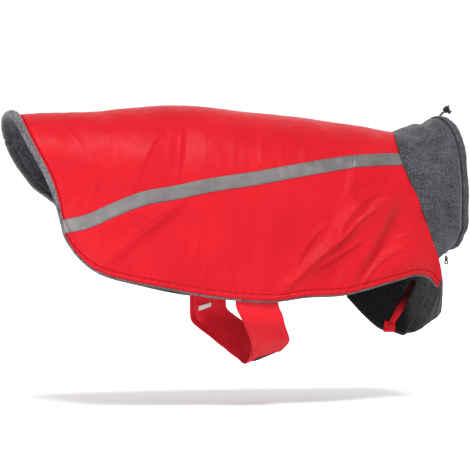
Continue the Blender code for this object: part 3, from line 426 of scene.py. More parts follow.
class Finish:
    """A material with its even values on the shader's own sockets, to which textures are added."""

    def __init__(self, name, roughness, specular=0.4, sheen=0.0, metallic=0.0):
        self.material = bpy.data.materials.new(name)
        self.material.use_nodes = True
        self.tree = self.material.node_tree
        self.shader = self.tree.nodes["Principled BSDF"]
        self.relief = None
        self.shader.inputs["Roughness"].default_value = roughness
        self.shader.inputs["Specular IOR Level"].default_value = specular
        self.shader.inputs["Sheen Weight"].default_value = sheen
        self.shader.inputs["Sheen Roughness"].default_value = 0.4
        self.shader.inputs["Metallic"].default_value = metallic

    def node(self, kind, inputs, **settings):
        """A new node, its inputs set to values or linked to the outputs of other nodes."""
        node = self.tree.nodes.new("ShaderNode" + kind)
        for key, value in settings.items():
            setattr(node, key, value)
        for key, value in inputs.items():
            if isinstance(value, bpy.types.NodeSocket):
                self.tree.links.new(value, node.inputs[key])
            else:
                node.inputs[key].default_value = value
        return node

    def place(self, source, axis=None):
        """Object or UV coordinates, or one axis of them."""
        coords = self.node("TexCoord", {}).outputs[source]
        return self.node("SeparateXYZ", {0: coords}).outputs[axis] if axis else coords

    def noise(self, scale, detail=3.0, distortion=0.0, stretch=None):
        """A noise on Object coordinates, which a stretch multiplies first."""
        coords = self.place("Object")
        if stretch:
            coords = self.node("Mapping", {"Vector": coords, "Scale": stretch}).outputs[0]
        return self.node("TexNoise", {"Vector": coords, "Scale": scale, "Detail": detail,
                                      "Distortion": distortion}).outputs["Fac"]

    def wave(self, scale, distortion=0.0, bands="X"):
        """Bands across the cloth's own UV map."""
        return self.node("TexWave", {"Vector": self.place("UV"), "Scale": scale,
                                     "Distortion": distortion},
                         bands_direction=bands).outputs["Fac"]

    def mottle(self, value, dark, light, low=0.35, high=0.65):
        """Base colour from dark to light by a value."""
        ramp = self.node("ValToRGB", {"Fac": value})
        for stop, at, colour in zip(ramp.color_ramp.elements, (low, high), (dark, light)):
            stop.position, stop.color = at, (*colour, 1)
        self.colour = ramp.outputs["Color"]
        self.tree.links.new(self.colour, self.shader.inputs["Base Color"])

    def share(self, value, low, high, least, most=1.0, smooth=True):
        """From least to most as a value goes from low to high."""
        return self.node("MapRange", {"Value": value, "From Min": low, "From Max": high,
                                      "To Min": least, "To Max": most},
                         interpolation_type="SMOOTHSTEP" if smooth else "LINEAR").outputs[0]

    def shade(self, share):
        """The base colour multiplied by a share."""
        scaled = self.node("VectorMath", {0: self.colour, "Scale": share}, operation="SCALE")
        self.tree.links.new(scaled.outputs[0], self.shader.inputs["Base Color"])

    def bump(self, height, strength, distance):
        """Relief from a height, laid over the relief that is there already."""
        under = {"Normal": self.relief} if self.relief else {}
        self.relief = self.node("Bump", {"Height": height, "Strength": strength,
                                         "Distance": distance, **under}).outputs["Normal"]
        self.tree.links.new(self.relief, self.shader.inputs["Normal"])


nylon = Finish("nylon_red", roughness=0.44, specular=0.07)
nylon.mottle(nylon.noise(11.0, 4.0), (0.332, 0.0040, 0.0094), (0.378, 0.0054, 0.0110))
nylon.bump(nylon.noise(85.0, 5.0, distortion=0.6), 0.32, 0.0018)
# faint creases that run down the sides, and the weave
nylon.bump(nylon.noise(78.0, 4.0, distortion=0.4, stretch=(1.0, 0.35, 0.18)), 0.42, 0.0020)
nylon.bump(nylon.wave(260.0, 0.5), 0.05, 0.0001)

# the grid is closest at the tail's seam, at the near hem and over the creases of the near side
shell_s = np.concatenate([np.linspace(0, 0.02, 21), np.linspace(0.02, 1, 367)[1:]])
shell_t = np.concatenate([np.linspace(-1, -0.93, 27), np.linspace(-0.93, -0.3, 124)[1:],
                          np.linspace(-0.3, 0.3, 32)[1:-1], np.linspace(0.3, 1, 72)])
column, row = np.meshgrid(shell_s, shell_t, indexing="ij")
shell_points = coat_surface(column, row)
shell_normals = face_normals(shell_points)
from_hem = hem_distance(shell_points)
hem_run = np.cumsum(np.linalg.norm(np.gradient(shell_points[:, 0], axis=0), axis=-1))[:, None]
pucker = np.sin(hem_run * 2 * np.pi / PUCKER_PITCH + 2.2 * np.sin(hem_run * 47.0))
from_tail = run_along(shell_points)
groove = (-0.0016 * hump(from_hem, HEM_ALLOWANCE, 0.0011)
          - 0.0024 * hump(from_tail, TAIL_ALLOWANCE, 0.0012))
rolled = 0.0014 * np.sin(np.pi * np.clip(from_hem / HEM_ALLOWANCE, 0, 1)) - 0.0004
rolled = rolled * (from_hem < HEM_ALLOWANCE) * np.clip(np.abs(row) * 20 - 17, 0, 1)
gather = 0.00035 * pucker * hump(from_hem, HEM_ALLOWANCE, 0.008)
shell_face = shell_points + shell_normals * (groove + rolled + gather)[..., None]


def bordered(face, normals):
    """A face and its normals with their outermost rows and columns repeated, and a grid that is
    1 on the repeats and 0 elsewhere."""
    repeat = ((1, 1), (1, 1), (0, 0))
    rim = np.pad(np.zeros(face.shape[:2] + (1,)), repeat, constant_values=1.0)
    return np.pad(face, repeat, mode="edge"), np.pad(normals, repeat, mode="edge"), rim


edge, out, rim = bordered(shell_face, shell_normals)
edge = edge - out * SHELL_WALL * rim
shell = place_mesh("shell_nylon", edge, cloth_places(edge), nylon)
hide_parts("shell")

# ---------------------------------------------------------------- lining
# Grey fleece cut like the shell and laid inside it.  Its napped face is the one that shows, in
# the tail, under the belly and in the leg openings.
LINING_DEPTH = SHELL_WALL + SEAM_GAP + LINING_WALL
TAIL_TURN, HEM_TURN, EDGE_RISE = 0.0030, 0.0018, 0.0008     # how its edges run on into the roll
TUCK_DEPTH, TUCK_REACH, TUCK_ROWS = 0.0042, 0.065, (0.23, 0.31, 0.312)


def fleece_finish(name, dark, light):
    """Napped fleece: a mix of 0.68 fine flecks, 0.14 brushed patches and 0.18 broad cloudiness
    goes from dark to light grey, over a tufted relief."""
    finish = Finish(name, roughness=0.95, specular=0.08, sheen=0.25)
    flecks = 0.0
    for scale, detail, share in ((430.0, 4.0, 0.68), (95.0, 4.0, 0.14), (24.0, 3.0, 0.18)):
        flecks = finish.node("Math", {0: finish.noise(scale, detail), 1: share, 2: flecks},
                             operation="MULTIPLY_ADD").outputs[0]
    finish.mottle(flecks, dark, light, 0.38, 0.62)
    finish.bump(finish.noise(330.0), 0.6, 0.0016)
    finish.bump(finish.noise(1300.0, 2.0), 0.45, 0.0006)
    return finish


fleece = fleece_finish("fleece_grey", (0.014, 0.0138, 0.0165), (0.066, 0.064, 0.073))
column, row = np.meshgrid(np.linspace(0, 1, 181), np.linspace(-1, 1, 161), indexing="ij")
lining_points = coat_surface(column, row)
lining_normals = face_normals(lining_points)
soft = 0.00035 * ripple(lining_points * (1, 2, 1), 0.021)
# on the far side it is tucked in where the roll is creased across
start, full, stop = TUCK_ROWS
tuck = np.clip((row - start) / (full - start), 0, 1) ** 2 * (row < stop)
soft = soft + TUCK_DEPTH * tuck * hump(column, 0, TUCK_REACH)
inner = lining_points - lining_normals * (LINING_DEPTH + soft)[..., None]
edge, out, rim = bordered(inner, lining_normals)
edge = edge + out * rim * EDGE_RISE
edge[0] += unit(edge[0] - edge[2]) * TAIL_TURN
edge[:, 0] += unit(edge[:, 0] - edge[:, 2]) * HEM_TURN
edge[:, -1] += unit(edge[:, -1] - edge[:, -3]) * HEM_TURN
edge = edge[:, ::-1]
lining = place_mesh("lining_fleece", edge, cloth_places(edge), fleece)
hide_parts("lining")

# ---------------------------------------------------------------- edge roll
# The lining's edge brought round the shell's raw edge and stitched down: a thick fleece roll
# round the tail, with a sewn channel beside the nylon, and a thin edge along the hem.
# row t, width past the shell, thickness, centre above the shell's face, share of the width that
# is left on the near side
TAIL_ROLL = [
    (0.00, 0.0172, 0.0125, 0.0005, 0.98),
    (0.25, 0.0150, 0.0115, 0.0005, 0.74),
    (0.60, 0.0115, 0.0095, 0.0000, 0.70),
    (0.80, 0.0075, 0.0075, -0.0010, 0.80),
    (1.00, 0.0045, 0.0056, -0.0012, 0.90),
]
HEM_ROLL = (0.0032, 0.0048, -0.0022)
PINCH_ROW = 0.305               # where the far side of the tail is creased across
CORNER_RUN = 0.2                # share of the back over which the one becomes the other
HEM_STEPS, TAIL_STEPS, CORNER_STEPS, ROLL_SIDES = 299, 380, 10, 26
ROLL_GATHER_PITCH = 0.0115


def tube(path, outward, upward, width, depth, turns, channel):
    """Grid of a tube: at each place on the path a ring of half width and half depth, sine and
    cosine round it, times the share of its radius that `channel` gives for each turn."""
    angle = np.linspace(0, 2 * np.pi, turns + 1)
    share = channel(angle)
    out = np.cos(angle)[None] * share * width[:, None] / 2
    up = np.sin(angle)[None] * share * depth[:, None] / 2
    return (path[:, None] + outward[:, None] * out[..., None] + upward[:, None] * up[..., None])


s_run, t_run = np.linspace(0, 1, HEM_STEPS + 1), np.linspace(-1, 1, TAIL_STEPS)
roll_line = np.concatenate([coat_surface(s_run[:0:-1], np.full(HEM_STEPS, -1.0)),
                            coat_surface(np.zeros(TAIL_STEPS), t_run),
                            coat_surface(s_run[1:], np.full(HEM_STEPS, 1.0))])
hem_pick = np.clip(np.searchsorted(shell_s, s_run[1:]), 0, len(shell_s) - 1)
roll_normal = np.concatenate([
    shell_normals[hem_pick[::-1], 0],
    shell_normals[0][np.searchsorted(shell_t, t_run)],
    shell_normals[hem_pick, -1]])
for _ in range(12):
    roll_normal[1:-1] = unit(roll_normal[:-2] + roll_normal[1:-1] * 2 + roll_normal[2:])
    roll_line[1:-1] = (roll_line[:-2] + roll_line[1:-1] * 2 + roll_line[2:]) / 4
forward = unit(np.gradient(roll_line, axis=0))
roll_out = unit(np.cross(roll_normal, forward))
at_tail = read_table(TAIL_ROLL, np.abs(t_run))
at_tail[:, 0] *= np.where(t_run < 0, at_tail[:, 3], 1 - (1 - at_tail[:, 3]) * np.exp(-t_run * 30))
at_tail = at_tail[:, :3]
fade = np.clip(1 - s_run[1:] / CORNER_RUN, 0, 1)[:, None] ** 2
near_rows, far_rows = (np.array(HEM_ROLL) + (end - np.array(HEM_ROLL)) * fade
                       for end in (at_tail[0], at_tail[-1]))
width, depth, lift = np.concatenate([near_rows[::-1], at_tail, far_rows]).T
roll_run = run_along(roll_line)
thick = np.clip((width - 0.006) / 0.008, 0, 1)
pinch = np.zeros(len(roll_run))
pinch[HEM_STEPS:-HEM_STEPS] = hump(t_run, PINCH_ROW, 0.009)


def sewn_channel(angle):
    """Share of the ring's radius: 1, less a hump at 2.05 radians, where the roll is stitched,
    deep at the tail and shallow at the hem, less a sine on the inside, which lies flat on the
    lining, less the crease across it, and small gathers along its length."""
    groove = 0.30 * thick[:, None] * hump(angle[None], 2.05, 0.22)
    lumps = 0.035 * np.sin(roll_run * 2 * np.pi / ROLL_GATHER_PITCH
                           + 2.0 * np.sin(roll_run * 61.0))
    inside = 0.30 * thick[:, None] * np.clip(-np.sin(angle[None]), 0, 1)
    folded = 0.22 * pinch[:, None]
    return 1 - groove - inside - folded + lumps[:, None] * hump(angle[None], 1.3, 1.1)


roll_centre = roll_line + roll_normal * lift[:, None] + roll_out * (width / 2 - 0.0004)[:, None]
roll_points = tube(roll_centre, roll_out, roll_normal, width, depth, ROLL_SIDES, sewn_channel)
roll_points[0] = roll_centre[0]
roll_points[-1] = roll_centre[-1]
roll_uv = grid_of(roll_run, np.linspace(0, 1, ROLL_SIDES + 1))
# the roll's fleece is a lighter grey than the lining's; a painted shade darkens its inside, where
# it lies on the lining, to 0.42 of that colour
edge_fleece = fleece_finish("fleece_edge", (0.018, 0.0175, 0.020), (0.158, 0.155, 0.168))
from_inside = edge_fleece.node("Math", {0: edge_fleece.place("UV", "Y"), 1: 0.75},
                               operation="SUBTRACT").outputs[0]
from_inside = edge_fleece.node("Math", {0: from_inside}, operation="ABSOLUTE").outputs[0]
edge_fleece.shade(edge_fleece.share(from_inside, 0.11, 0.22, 0.42))
hem_fleece = fleece_finish("fleece_hem", (0.016, 0.0156, 0.018), (0.105, 0.103, 0.112))
edge_roll = place_mesh("edge_roll_fleece", roll_points[:, ::-1], roll_uv[:, ::-1], edge_fleece,
                       loop=True)
edge_roll.data.materials.append(hem_fleece.material)
ring = np.arange(len(roll_run) - 1)
on_hem = (ring < HEM_STEPS - CORNER_STEPS) | (ring > len(ring) - HEM_STEPS + CORNER_STEPS)
edge_roll.data.polygons.foreach_set("material_index",
                                    np.repeat(on_hem, ROLL_SIDES).astype(np.int32))
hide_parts("edge_roll")


def at_run(at, run, vectors):
    """Vectors at places along a line, between those of its own points."""
    return np.stack([np.interp(at, run, vectors[:, k]) for k in range(3)], axis=-1)


def sew(name, path, normals, finish, pitch=0.0032, thread=0.00045, bite=0.55):
    """A row of stitches: one every pitch along a path, each a low arch of thread whose ends dip
    into the cloth, with seven rings of five sides."""
    run = run_along(path)
    count = int(run[-1] / pitch)
    way = np.linspace(-0.5, 0.5, 7) * pitch * bite
    middle = (np.arange(count) + 0.5) * run[-1] / count
    at = middle[:, None] + way[None]
    place, up = at_run(at, run, path), unit(at_run(at, run, normals))
    along = unit(np.gradient(place, axis=1))
    side = unit(np.cross(along, up))
    arch = 0.7 * thread * np.cos(np.linspace(-1.9, 1.9, 7))
    place = place + up * arch[None, :, None]
    turn = np.linspace(0, 2 * np.pi, 6)[:-1]
    radius = thread / 2 * np.array([0.35, 0.9, 1.0, 1.0, 1.0, 0.9, 0.35])[None, :, None, None]
    ring = (place[:, :, None] + side[:, :, None] * np.cos(turn)[:, None] * radius
            + up[:, :, None] * np.sin(turn)[:, None] * radius)
    index = np.arange(count * 7 * 5).reshape(count, 7, 5)
    after = np.roll(index, -1, axis=2)
    sides = np.stack([index[:, 1:], after[:, 1:], after[:, :-1], index[:, :-1]], axis=-1)
    ends = [tuple(r) for r in index[:, 0, ::-1]] + [tuple(r) for r in index[:, -1]]
    mesh = bpy.data.meshes.new(name)
    mesh.from_pydata(ring.reshape(-1, 3).tolist(), [], sides.reshape(-1, 4).tolist() + ends)
    mesh.shade_smooth()
    return placed(mesh, finish)


red_thread = Finish("thread_red", roughness=0.6, sheen=0.2)
red_thread.mottle(red_thread.noise(900.0), (0.26, 0.008, 0.012), (0.36, 0.012, 0.018))
grey_thread = Finish("thread_grey", roughness=0.7, sheen=0.2)
grey_thread.mottle(grey_thread.noise(900.0), (0.030, 0.030, 0.034), (0.060, 0.058, 0.064))
sewn_part = slice(4, -6)        # the hem's stitches stop short of both its ends
for name, half in (("near", np.flatnonzero(shell_t < 0)[::-1]),
                   ("far", np.flatnonzero(shell_t > 0))):
    rows = half[np.argmin(np.abs(from_hem[:, half] - HEM_ALLOWANCE), axis=1)][sewn_part]
    pick = np.arange(len(shell_s))[sewn_part]
    row = sew("hem_stitches_" + name, shell_face[pick, rows], shell_normals[pick, rows],
              red_thread)

# ---------------------------------------------------------------- reflective stripes
# A woven tape faced with glass beads along each side, from the tail edge to the neck seam, sewn
# down close to both of its edges, so that it puckers a little between them.
STRIPE_WIDTH, TAPE_WALL, LOWEST_ROW = 0.0205, 0.0006, 0.985
STRIPE_CELLS, SEAM_SHARE, PUCKER_RUN = 18, 0.09, 0.023
# place along the body, height of the stripe's upper edge
STRIPE_LINE = [
    (-0.280, -0.1606),
    (-0.250, -0.1534),
    (-0.215, -0.1377),
    (-0.170, -0.1204),
    (-0.131, -0.1131),
    (-0.074, -0.1013),
    (-0.014, -0.0922),
    (0.066, -0.0783),
    (0.154, -0.0652),
    (0.212, -0.0610),
    (0.245, -0.0600),
]


def stripe_rows(s):
    """Rows of the stripe's two edges at places s: where the panel first falls below the line
    of the table, and one tape width further down it."""
    t = np.linspace(0.02, 0.99, 240)
    rows, cells = np.meshgrid(s, t, indexing="ij")
    points = panel_surface(rows, -cells)
    above = points[..., 2] - read_table(STRIPE_LINE, points[..., 0])[..., 0]
    run = run_along(points, axis=1)
    upper = np.array([np.interp(0.0, -row, t) for row in above])
    start = np.array([np.interp(u, t, r) for u, r in zip(upper, run)])
    lower = np.array([np.interp(a + STRIPE_WIDTH, r, t) for a, r in zip(start, run)])
    return upper, np.minimum(lower, LOWEST_ROW)


def layered(face, normals, wall, rise, crown):
    """Outer and inner grids of a thin strip on a face: its wall swells from nothing at all four
    edges to its full thickness at once, like a rounded edge, and lies `rise` above the face."""
    i = np.linspace(-1, 1, face.shape[0])[:, None]
    j = np.linspace(-1, 1, face.shape[1])[None]
    full = np.sqrt(np.clip(1 - np.abs(i) ** (crown * 8), 0, 1)
                   * np.clip(1 - np.abs(j) ** crown, 0, 1))
    outer = face + normals * (rise + wall / 2 + wall / 2 * full)[..., None]
    inner = face + normals * (rise + wall / 2 - wall / 2 * full)[..., None]
    return outer, inner


def place_strip(name, face, outer, inner, finish):
    """A thin strip's two faces, which meet at its edges, as one mesh."""
    uv = cloth_places(face)
    return place_mesh(name, [outer, inner[:, ::-1]], [uv, uv], finish, weld=True)


reflective = Finish("reflective_grey", roughness=0.42, specular=0.55, metallic=0.25)
reflective.mottle(reflective.noise(48.0, 4.0), (0.079, 0.073, 0.074), (0.107, 0.100, 0.101))
reflective.bump(reflective.noise(2600.0, 2.0), 0.25, 0.0002)
reflective.bump(reflective.noise(120.0), 0.25, 0.0010)
stripe_s = np.linspace(0.0, 1.0, 420)
upper, lower = stripe_rows(stripe_s)
across = np.linspace(0, 1, STRIPE_CELLS + 1)
down = upper[:, None] + (lower - upper)[:, None] * across
for name, side in (("near", -1.0), ("far", 1.0)):
    column = np.repeat(stripe_s[:, None], STRIPE_CELLS + 1, axis=1)
    face = coat_surface(column, side * down)
    if side < 0:
        face = face[:, ::-1]
    normals = face_normals(face)
    run = np.gradient(face[:, STRIPE_CELLS // 2], axis=0)
    run = np.cumsum(np.linalg.norm(run, axis=-1))[:, None]
    seam = hump(across, SEAM_SHARE, 0.035) + hump(across, 1 - SEAM_SHARE, 0.035)
    middle = 1 - np.abs(2 * across - 1) ** 4
    swell = (0.00016 * np.sin(run * 2 * np.pi / PUCKER_RUN + 2.4 * np.sin(run * 31.0)) * middle
             + 0.0002 * middle - 0.0003 * seam)
    outer, inner = layered(face, normals, TAPE_WALL, SEAM_GAP, crown=24.0)
    outer = outer + normals * swell[..., None]
    stripe = place_strip("stripe_" + name + "_tape", face, outer, inner, reflective)
    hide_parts("stripe_" + name)
    for label, cell in (("upper", 2), ("lower", STRIPE_CELLS - 2)):
        row = sew("stripe_stitches_" + name + "_" + label, outer[4:-4, cell], normals[4:-4, cell],
                  grey_thread, pitch=0.0028, thread=0.0004)

# ---------------------------------------------------------------- collar
# A stand-up collar of the same fleece, double, sewn round the neck of the panel and below the
# throat to its own zip.  It closes to an oval rim that leans forward at the top.
THROAT_ROW, THROAT_FRONT = 0.85, (0.3250, -0.2160)
RIM_HALF_WIDTH, RIM_TOP, RIM_BOTTOM, RIM_ROUNDNESS = 0.070, 0.0005, -0.2035, 0.845
COLLAR_WALL = 0.0030
NECK_SHARE = 0.80               # share of the half way round that is sewn to the panel
SWELL_CENTRE = np.array([0.30, 0.0, -0.105])
SEWN_FOOT = (0.012, 0.018, 0.0010)              # share of the way up, its reach, height
RIM_GROOVE = (0.0024, 0.0026, -0.0030)          # distance from the rim, its reach, height
# height of the rim's point (0 at the bottom, 1 at the top), how far forward it is
RIM_LEAN = [
    (0.00, 0.3410),
    (0.05, 0.3450),
    (0.30, 0.3440),
    (0.60, 0.3405),
    (0.80, 0.3370),
    (0.93, 0.3310),
    (1.00, 0.3260),
]
# dents (minus) and swells: way up and its reach, way round and its reach, height
COLLAR_DENTS = [
    (0.72, 0.13, 0.00, 0.22, -0.0055),
    (0.42, 0.11, 0.17, 0.05, -0.0070),
    (0.55, 0.15, 0.62, 0.07, -0.0066),
    (0.30, 0.13, 0.48, 0.08, 0.0044),
]


def collar_surface(v, p):
    """Outer face of the collar, ruled from the neck seam (v 0) to the rim (v 1); p runs from the
    throat (-1) over the spine (0) back to it (1).  It swells at the sides by sines, and has the
    table's dents, a raised seam at its foot and a sewn groove below its rim."""
    along, side = np.abs(p), np.where(p < 0, -1.0, 1.0)
    seam = panel_surface(np.ones_like(p), side * np.clip(along / NECK_SHARE, 0, 1) * THROAT_ROW)
    corner = panel_surface(np.array([1.0]), np.array([THROAT_ROW]))[0]
    inward = np.clip((along - NECK_SHARE) / (1 - NECK_SHARE), 0, 1)
    throat = np.stack([corner[0] + (THROAT_FRONT[0] - corner[0]) * inward,
                       side * corner[1] * (1 - inward),
                       corner[2] + (THROAT_FRONT[1] - corner[2]) * inward], axis=-1)
    base = np.where((along > NECK_SHARE)[..., None], throat, seam)
    turn = along * math.pi
    rise = (1 + np.sign(np.cos(turn)) * np.abs(np.cos(turn)) ** RIM_ROUNDNESS) / 2
    rim = np.stack([read_table(RIM_LEAN, rise)[..., 0],
                    side * RIM_HALF_WIDTH * np.sin(turn) ** RIM_ROUNDNESS,
                    RIM_BOTTOM + (RIM_TOP - RIM_BOTTOM) * rise], axis=-1)
    points = base + (rim - base) * v[..., None]
    away = unit((points - SWELL_CENTRE) * np.array([0.0, 1.0, 1.0]))
    swell = 0.006 * np.sin(np.pi * v) * np.sin(np.pi * along) ** 2
    for up, reach, round_at, span, height in COLLAR_DENTS:
        swell = swell + height * hump(v, up, reach) * hump(along, round_at, span)
    from_rim = (1 - v) * np.linalg.norm(rim - base, axis=-1)
    swell = swell + SEWN_FOOT[2] * hump(v, *SEWN_FOOT[:2]) + 0.0006 * ripple(points, 0.034)
    swell = swell + RIM_GROOVE[2] * hump(from_rim, *RIM_GROOVE[:2])
    return points + away * swell[..., None]


def tucked(outer, normals, wall):
    """A closed wall round a loop: the outer grid, its rim, and the inner grid back again."""
    inner = outer - normals * wall
    bend = np.array([0.85, 0.5, 0.15])[:, None, None]
    first = outer[:1] * bend + inner[:1] * (1 - bend)
    last = outer[-1:] * bend + inner[-1:] * (1 - bend)
    return np.concatenate([outer, last, inner[::-1], first[::-1], outer[:1]])


p_run = np.linspace(-1, 1, 361)
v_run = np.concatenate([np.linspace(0, 0.8, 41), np.linspace(0.8, 1, 33)[1:]])
v_grid, p_grid = np.meshgrid(v_run, p_run, indexing="ij")
collar_face = collar_surface(v_grid, p_grid)
collar_face[:, -1] = collar_face[:, 0]
collar_normals = face_normals(collar_face, loop=True)
collar_normals[:, -1] = collar_normals[:, 0]
collar_points = tucked(collar_face, collar_normals, COLLAR_WALL)
collar = place_mesh("collar_fleece", collar_points, cloth_places(collar_points), fleece, loop=True,
                    weld=True)
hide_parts("collar")

# ---------------------------------------------------------------- drawstring casing
# The collar's rim turned over the drawstring and stitched below its edge, which makes a soft
# round tunnel with a sewn line beside it and gathers along its length.
CASING_WIDTH, CASING_REACH, CASING_THICKNESS = 0.0112, 0.0008, 0.0062
CASING_SIDES, CASING_ROUND, GATHER_PITCH = 28, 0.028, 0.014
RIM_ROWS = 12                   # rows of the collar over which its way up to the rim is taken


def square_to(ways, along):
    """Unit ways without their share along another way."""
    return unit(ways - along * np.sum(ways * along, axis=1, keepdims=True))


rim = collar_face[-1]
along = unit(np.gradient(rim, axis=0))
along[0] = along[-1] = unit(rim[1] - rim[-2])
nape = hump(p_run, 0, 0.26)[:, None]
up_collar = unit(rim - collar_face[-RIM_ROWS])
ahead = square_to(unit(up_collar + np.array([0.35, 0.0, 0.0]) - nape * np.array([0.0, 0.0, 0.20])),
                  along)
casing_out = unit(np.cross(ahead, along))
ahead[-1], casing_out[-1] = ahead[0], casing_out[0]
casing_line = (rim - casing_out * COLLAR_WALL / 2
               + ahead * (CASING_WIDTH / 2 - CASING_REACH / 2 - 0.0002))
casing_line[-1] = casing_line[0]
casing_run = run_along(casing_line)
gathers = np.round(casing_run[-1] / GATHER_PITCH)


def casing_channel(angle):
    """Share of the ring's radius: 1 over the cube root of |cosine| cubed plus |sine| cubed, which
    makes both ends blunt, with gathers that come round to the same place on the loop."""
    blunt = (np.abs(np.cos(angle)) ** 3 + np.abs(np.sin(angle)) ** 3) ** (-1 / 3)
    lump = 0.035 * np.sin(2 * np.pi * gathers * casing_run / casing_run[-1]
                          + 2.0 * np.sin(2 * np.pi * 5 * casing_run / casing_run[-1]))
    return blunt[None] + lump[:, None] * np.cos(angle[None] / 2) ** 2


count = len(casing_line)
casing_points = tube(casing_line, ahead, casing_out, np.full(count, CASING_WIDTH + CASING_REACH),
                     np.full(count, CASING_THICKNESS), CASING_SIDES, casing_channel)
# behind the rim it bends down to follow the collar's face
hem_way = square_to(up_collar, along)
hem_way[-1] = hem_way[0]
behind = np.minimum(((casing_points - rim[:, None]) * ahead[:, None]).sum(axis=-1), 0)
casing_points = casing_points + (hem_way - ahead)[:, None] * behind[..., None]
casing_points[-1] = casing_points[0]
casing_uv = grid_of(casing_run, np.linspace(0, CASING_ROUND, CASING_SIDES + 1))
casing = place_mesh("collar_casing_fleece", casing_points[:, ::-1], casing_uv, fleece, loop=True,
                    weld=True)
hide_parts("collar_casing")
casing_thread = Finish("thread_dark", roughness=0.8, specular=0.1)
casing_thread.mottle(casing_thread.noise(900.0), (0.006, 0.006, 0.007), (0.012, 0.012, 0.014))
seam_line = rim - hem_way * (CASING_REACH + 0.0012) + casing_out * 0.0002
casing_stitches = sew("casing_stitches", seam_line, casing_out, casing_thread, thread=0.0010,
                      bite=0.8)

# ---------------------------------------------------------------- chest flap
# A fleece flap that hangs in front of the chest below the collar.  It is sewn to the near front
# seam, folds round the front, and its far wing is tucked behind the far hem.
CHEST_WALL = 0.0030
CHEST_DROP, CHEST_HEM = 0.105, 0.0075   # its length in front, its hem's stitching from the edge
CHEST_CELLS = 90                        # down it
# top edge, hem and bulge (x, y), from the near seam round the front to the end of the far wing
CHEST_FLAP = [
    ("near_edge", (0.3062, -0.0605, -0.2205), (0.3205, -0.0370, -0.3000), (0.0032, -0.0010)),
    ("near_front", (0.3115, -0.0440, -0.2186), (0.3215, -0.0160, -0.3105), (0.0075, -0.0030)),
    ("front", (0.3180, -0.0220, -0.2176), (0.3115, 0.0050, -0.3235), (0.0130, -0.0030)),
    ("centre", (0.3230, 0.0000, -0.2172), (0.2990, 0.0230, -0.3340), (0.0140, 0.0000)),
    ("far_front", (0.3180, 0.0250, -0.2178), (0.2870, 0.0380, -0.3390), (0.0100, 0.0060)),
    ("far_seam", (0.2990, 0.0430, -0.2205), (0.2735, 0.0460, -0.3345), (0.0030, 0.0040)),
    ("wing_front", (0.2730, 0.0555, -0.2260), (0.2550, 0.0575, -0.3290), (0.0000, 0.0010)),
    ("wing_middle", (0.2430, 0.0690, -0.2310), (0.2330, 0.0715, -0.3070), (0.0000, 0.0000)),
    ("wing_end", (0.2130, 0.0805, -0.2380), (0.2110, 0.0830, -0.2800), (0.0000, 0.0000)),
]
# folds in the flap (minus is a trough): place along its top, drift down to its hem, width, height
CHEST_FOLDS = [
    (0.20, 0.10, 0.035, 0.0022),
    (0.12, 0.06, 0.030, -0.0020),
    (0.52, -0.16, 0.040, 0.0016),
    (0.78, -0.06, 0.045, -0.0014),
    (0.36, 0.08, 0.030, -0.0024),
    (0.43, 0.06, 0.034, 0.0020),
]


def chest_surface(v, u):
    """Outer face of the flap, ruled from its top edge to its hem and bulged between them by a
    sine of its way down."""
    station = np.linspace(0, 1, len(CHEST_FLAP))
    top = read_table(np.column_stack([station, [row[1] for row in CHEST_FLAP]]), u)
    hem = read_table(np.column_stack([station, [row[2] for row in CHEST_FLAP]]), u)
    bulge = read_table([(at, *row[3], 0.0) for at, row in zip(station, CHEST_FLAP)], u)
    return top + (hem - top) * v[..., None] + bulge * np.sin(np.pi * v)[..., None]


v_grid, u_grid = np.meshgrid(np.linspace(0, 1, CHEST_CELLS + 1), np.linspace(0, 1, 181),
                             indexing="ij")
flap_face = chest_surface(v_grid, u_grid)
flap_normals = face_normals(flap_face)
drape = 0.0004 * ripple(flap_face, 0.031)
for place, drift, width, height in CHEST_FOLDS:
    drape = drape + height * hump(u_grid, place + drift * v_grid, width)
flap_edge = np.minimum(1 - v_grid, 0.4) * CHEST_DROP
turned_hem = -0.0006 * hump(flap_edge, CHEST_HEM, 0.0012)
flap_face = flap_face + flap_normals * (drape + turned_hem)[..., None]
flap_uv = cloth_places(flap_face)
flap_length = float(flap_uv[-1, 0, 0])

# painted shade: the flap's colour is darkened to 0.15 at its back, deep inside the coat, easing
# off towards the front, and lifted to half along the hem
flap_fleece = fleece_finish("fleece_flap", (0.020, 0.0195, 0.0225), (0.080, 0.078, 0.086))
shade_eased_to_front = flap_fleece.share(flap_fleece.place("Object", "X"), 0.284, 0.320, 0.15)
shade_eased_at_hem = flap_fleece.share(flap_fleece.place("UV", "X"), flap_length - 0.0060,
                           flap_length - 0.0035, 0.0, 0.5)
flap_fleece.shade(flap_fleece.node("Math", {0: shade_eased_to_front, 1: shade_eased_at_hem},
                                   operation="MAXIMUM").outputs[0])

outer, inner = layered(flap_face, flap_normals, CHEST_WALL, -CHEST_WALL, crown=60.0)
inner = inner - flap_normals * (turned_hem * 2)[..., None]
chest_flap = place_mesh("chest_flap_fleece", [outer, inner[:, ::-1]], [flap_uv, flap_uv[:, ::-1]],
                        flap_fleece, weld=True)
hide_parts("chest_flap")
flap_row = int(round(CHEST_CELLS * (1 - CHEST_HEM / CHEST_DROP)))
for label, face, out in (("outside", outer, flap_normals), ("inside", inner, -flap_normals)):
    row = sew("chest_flap_stitches_" + label, face[flap_row, 3:-3], out[flap_row, 3:-3],
              grey_thread, thread=0.0006)

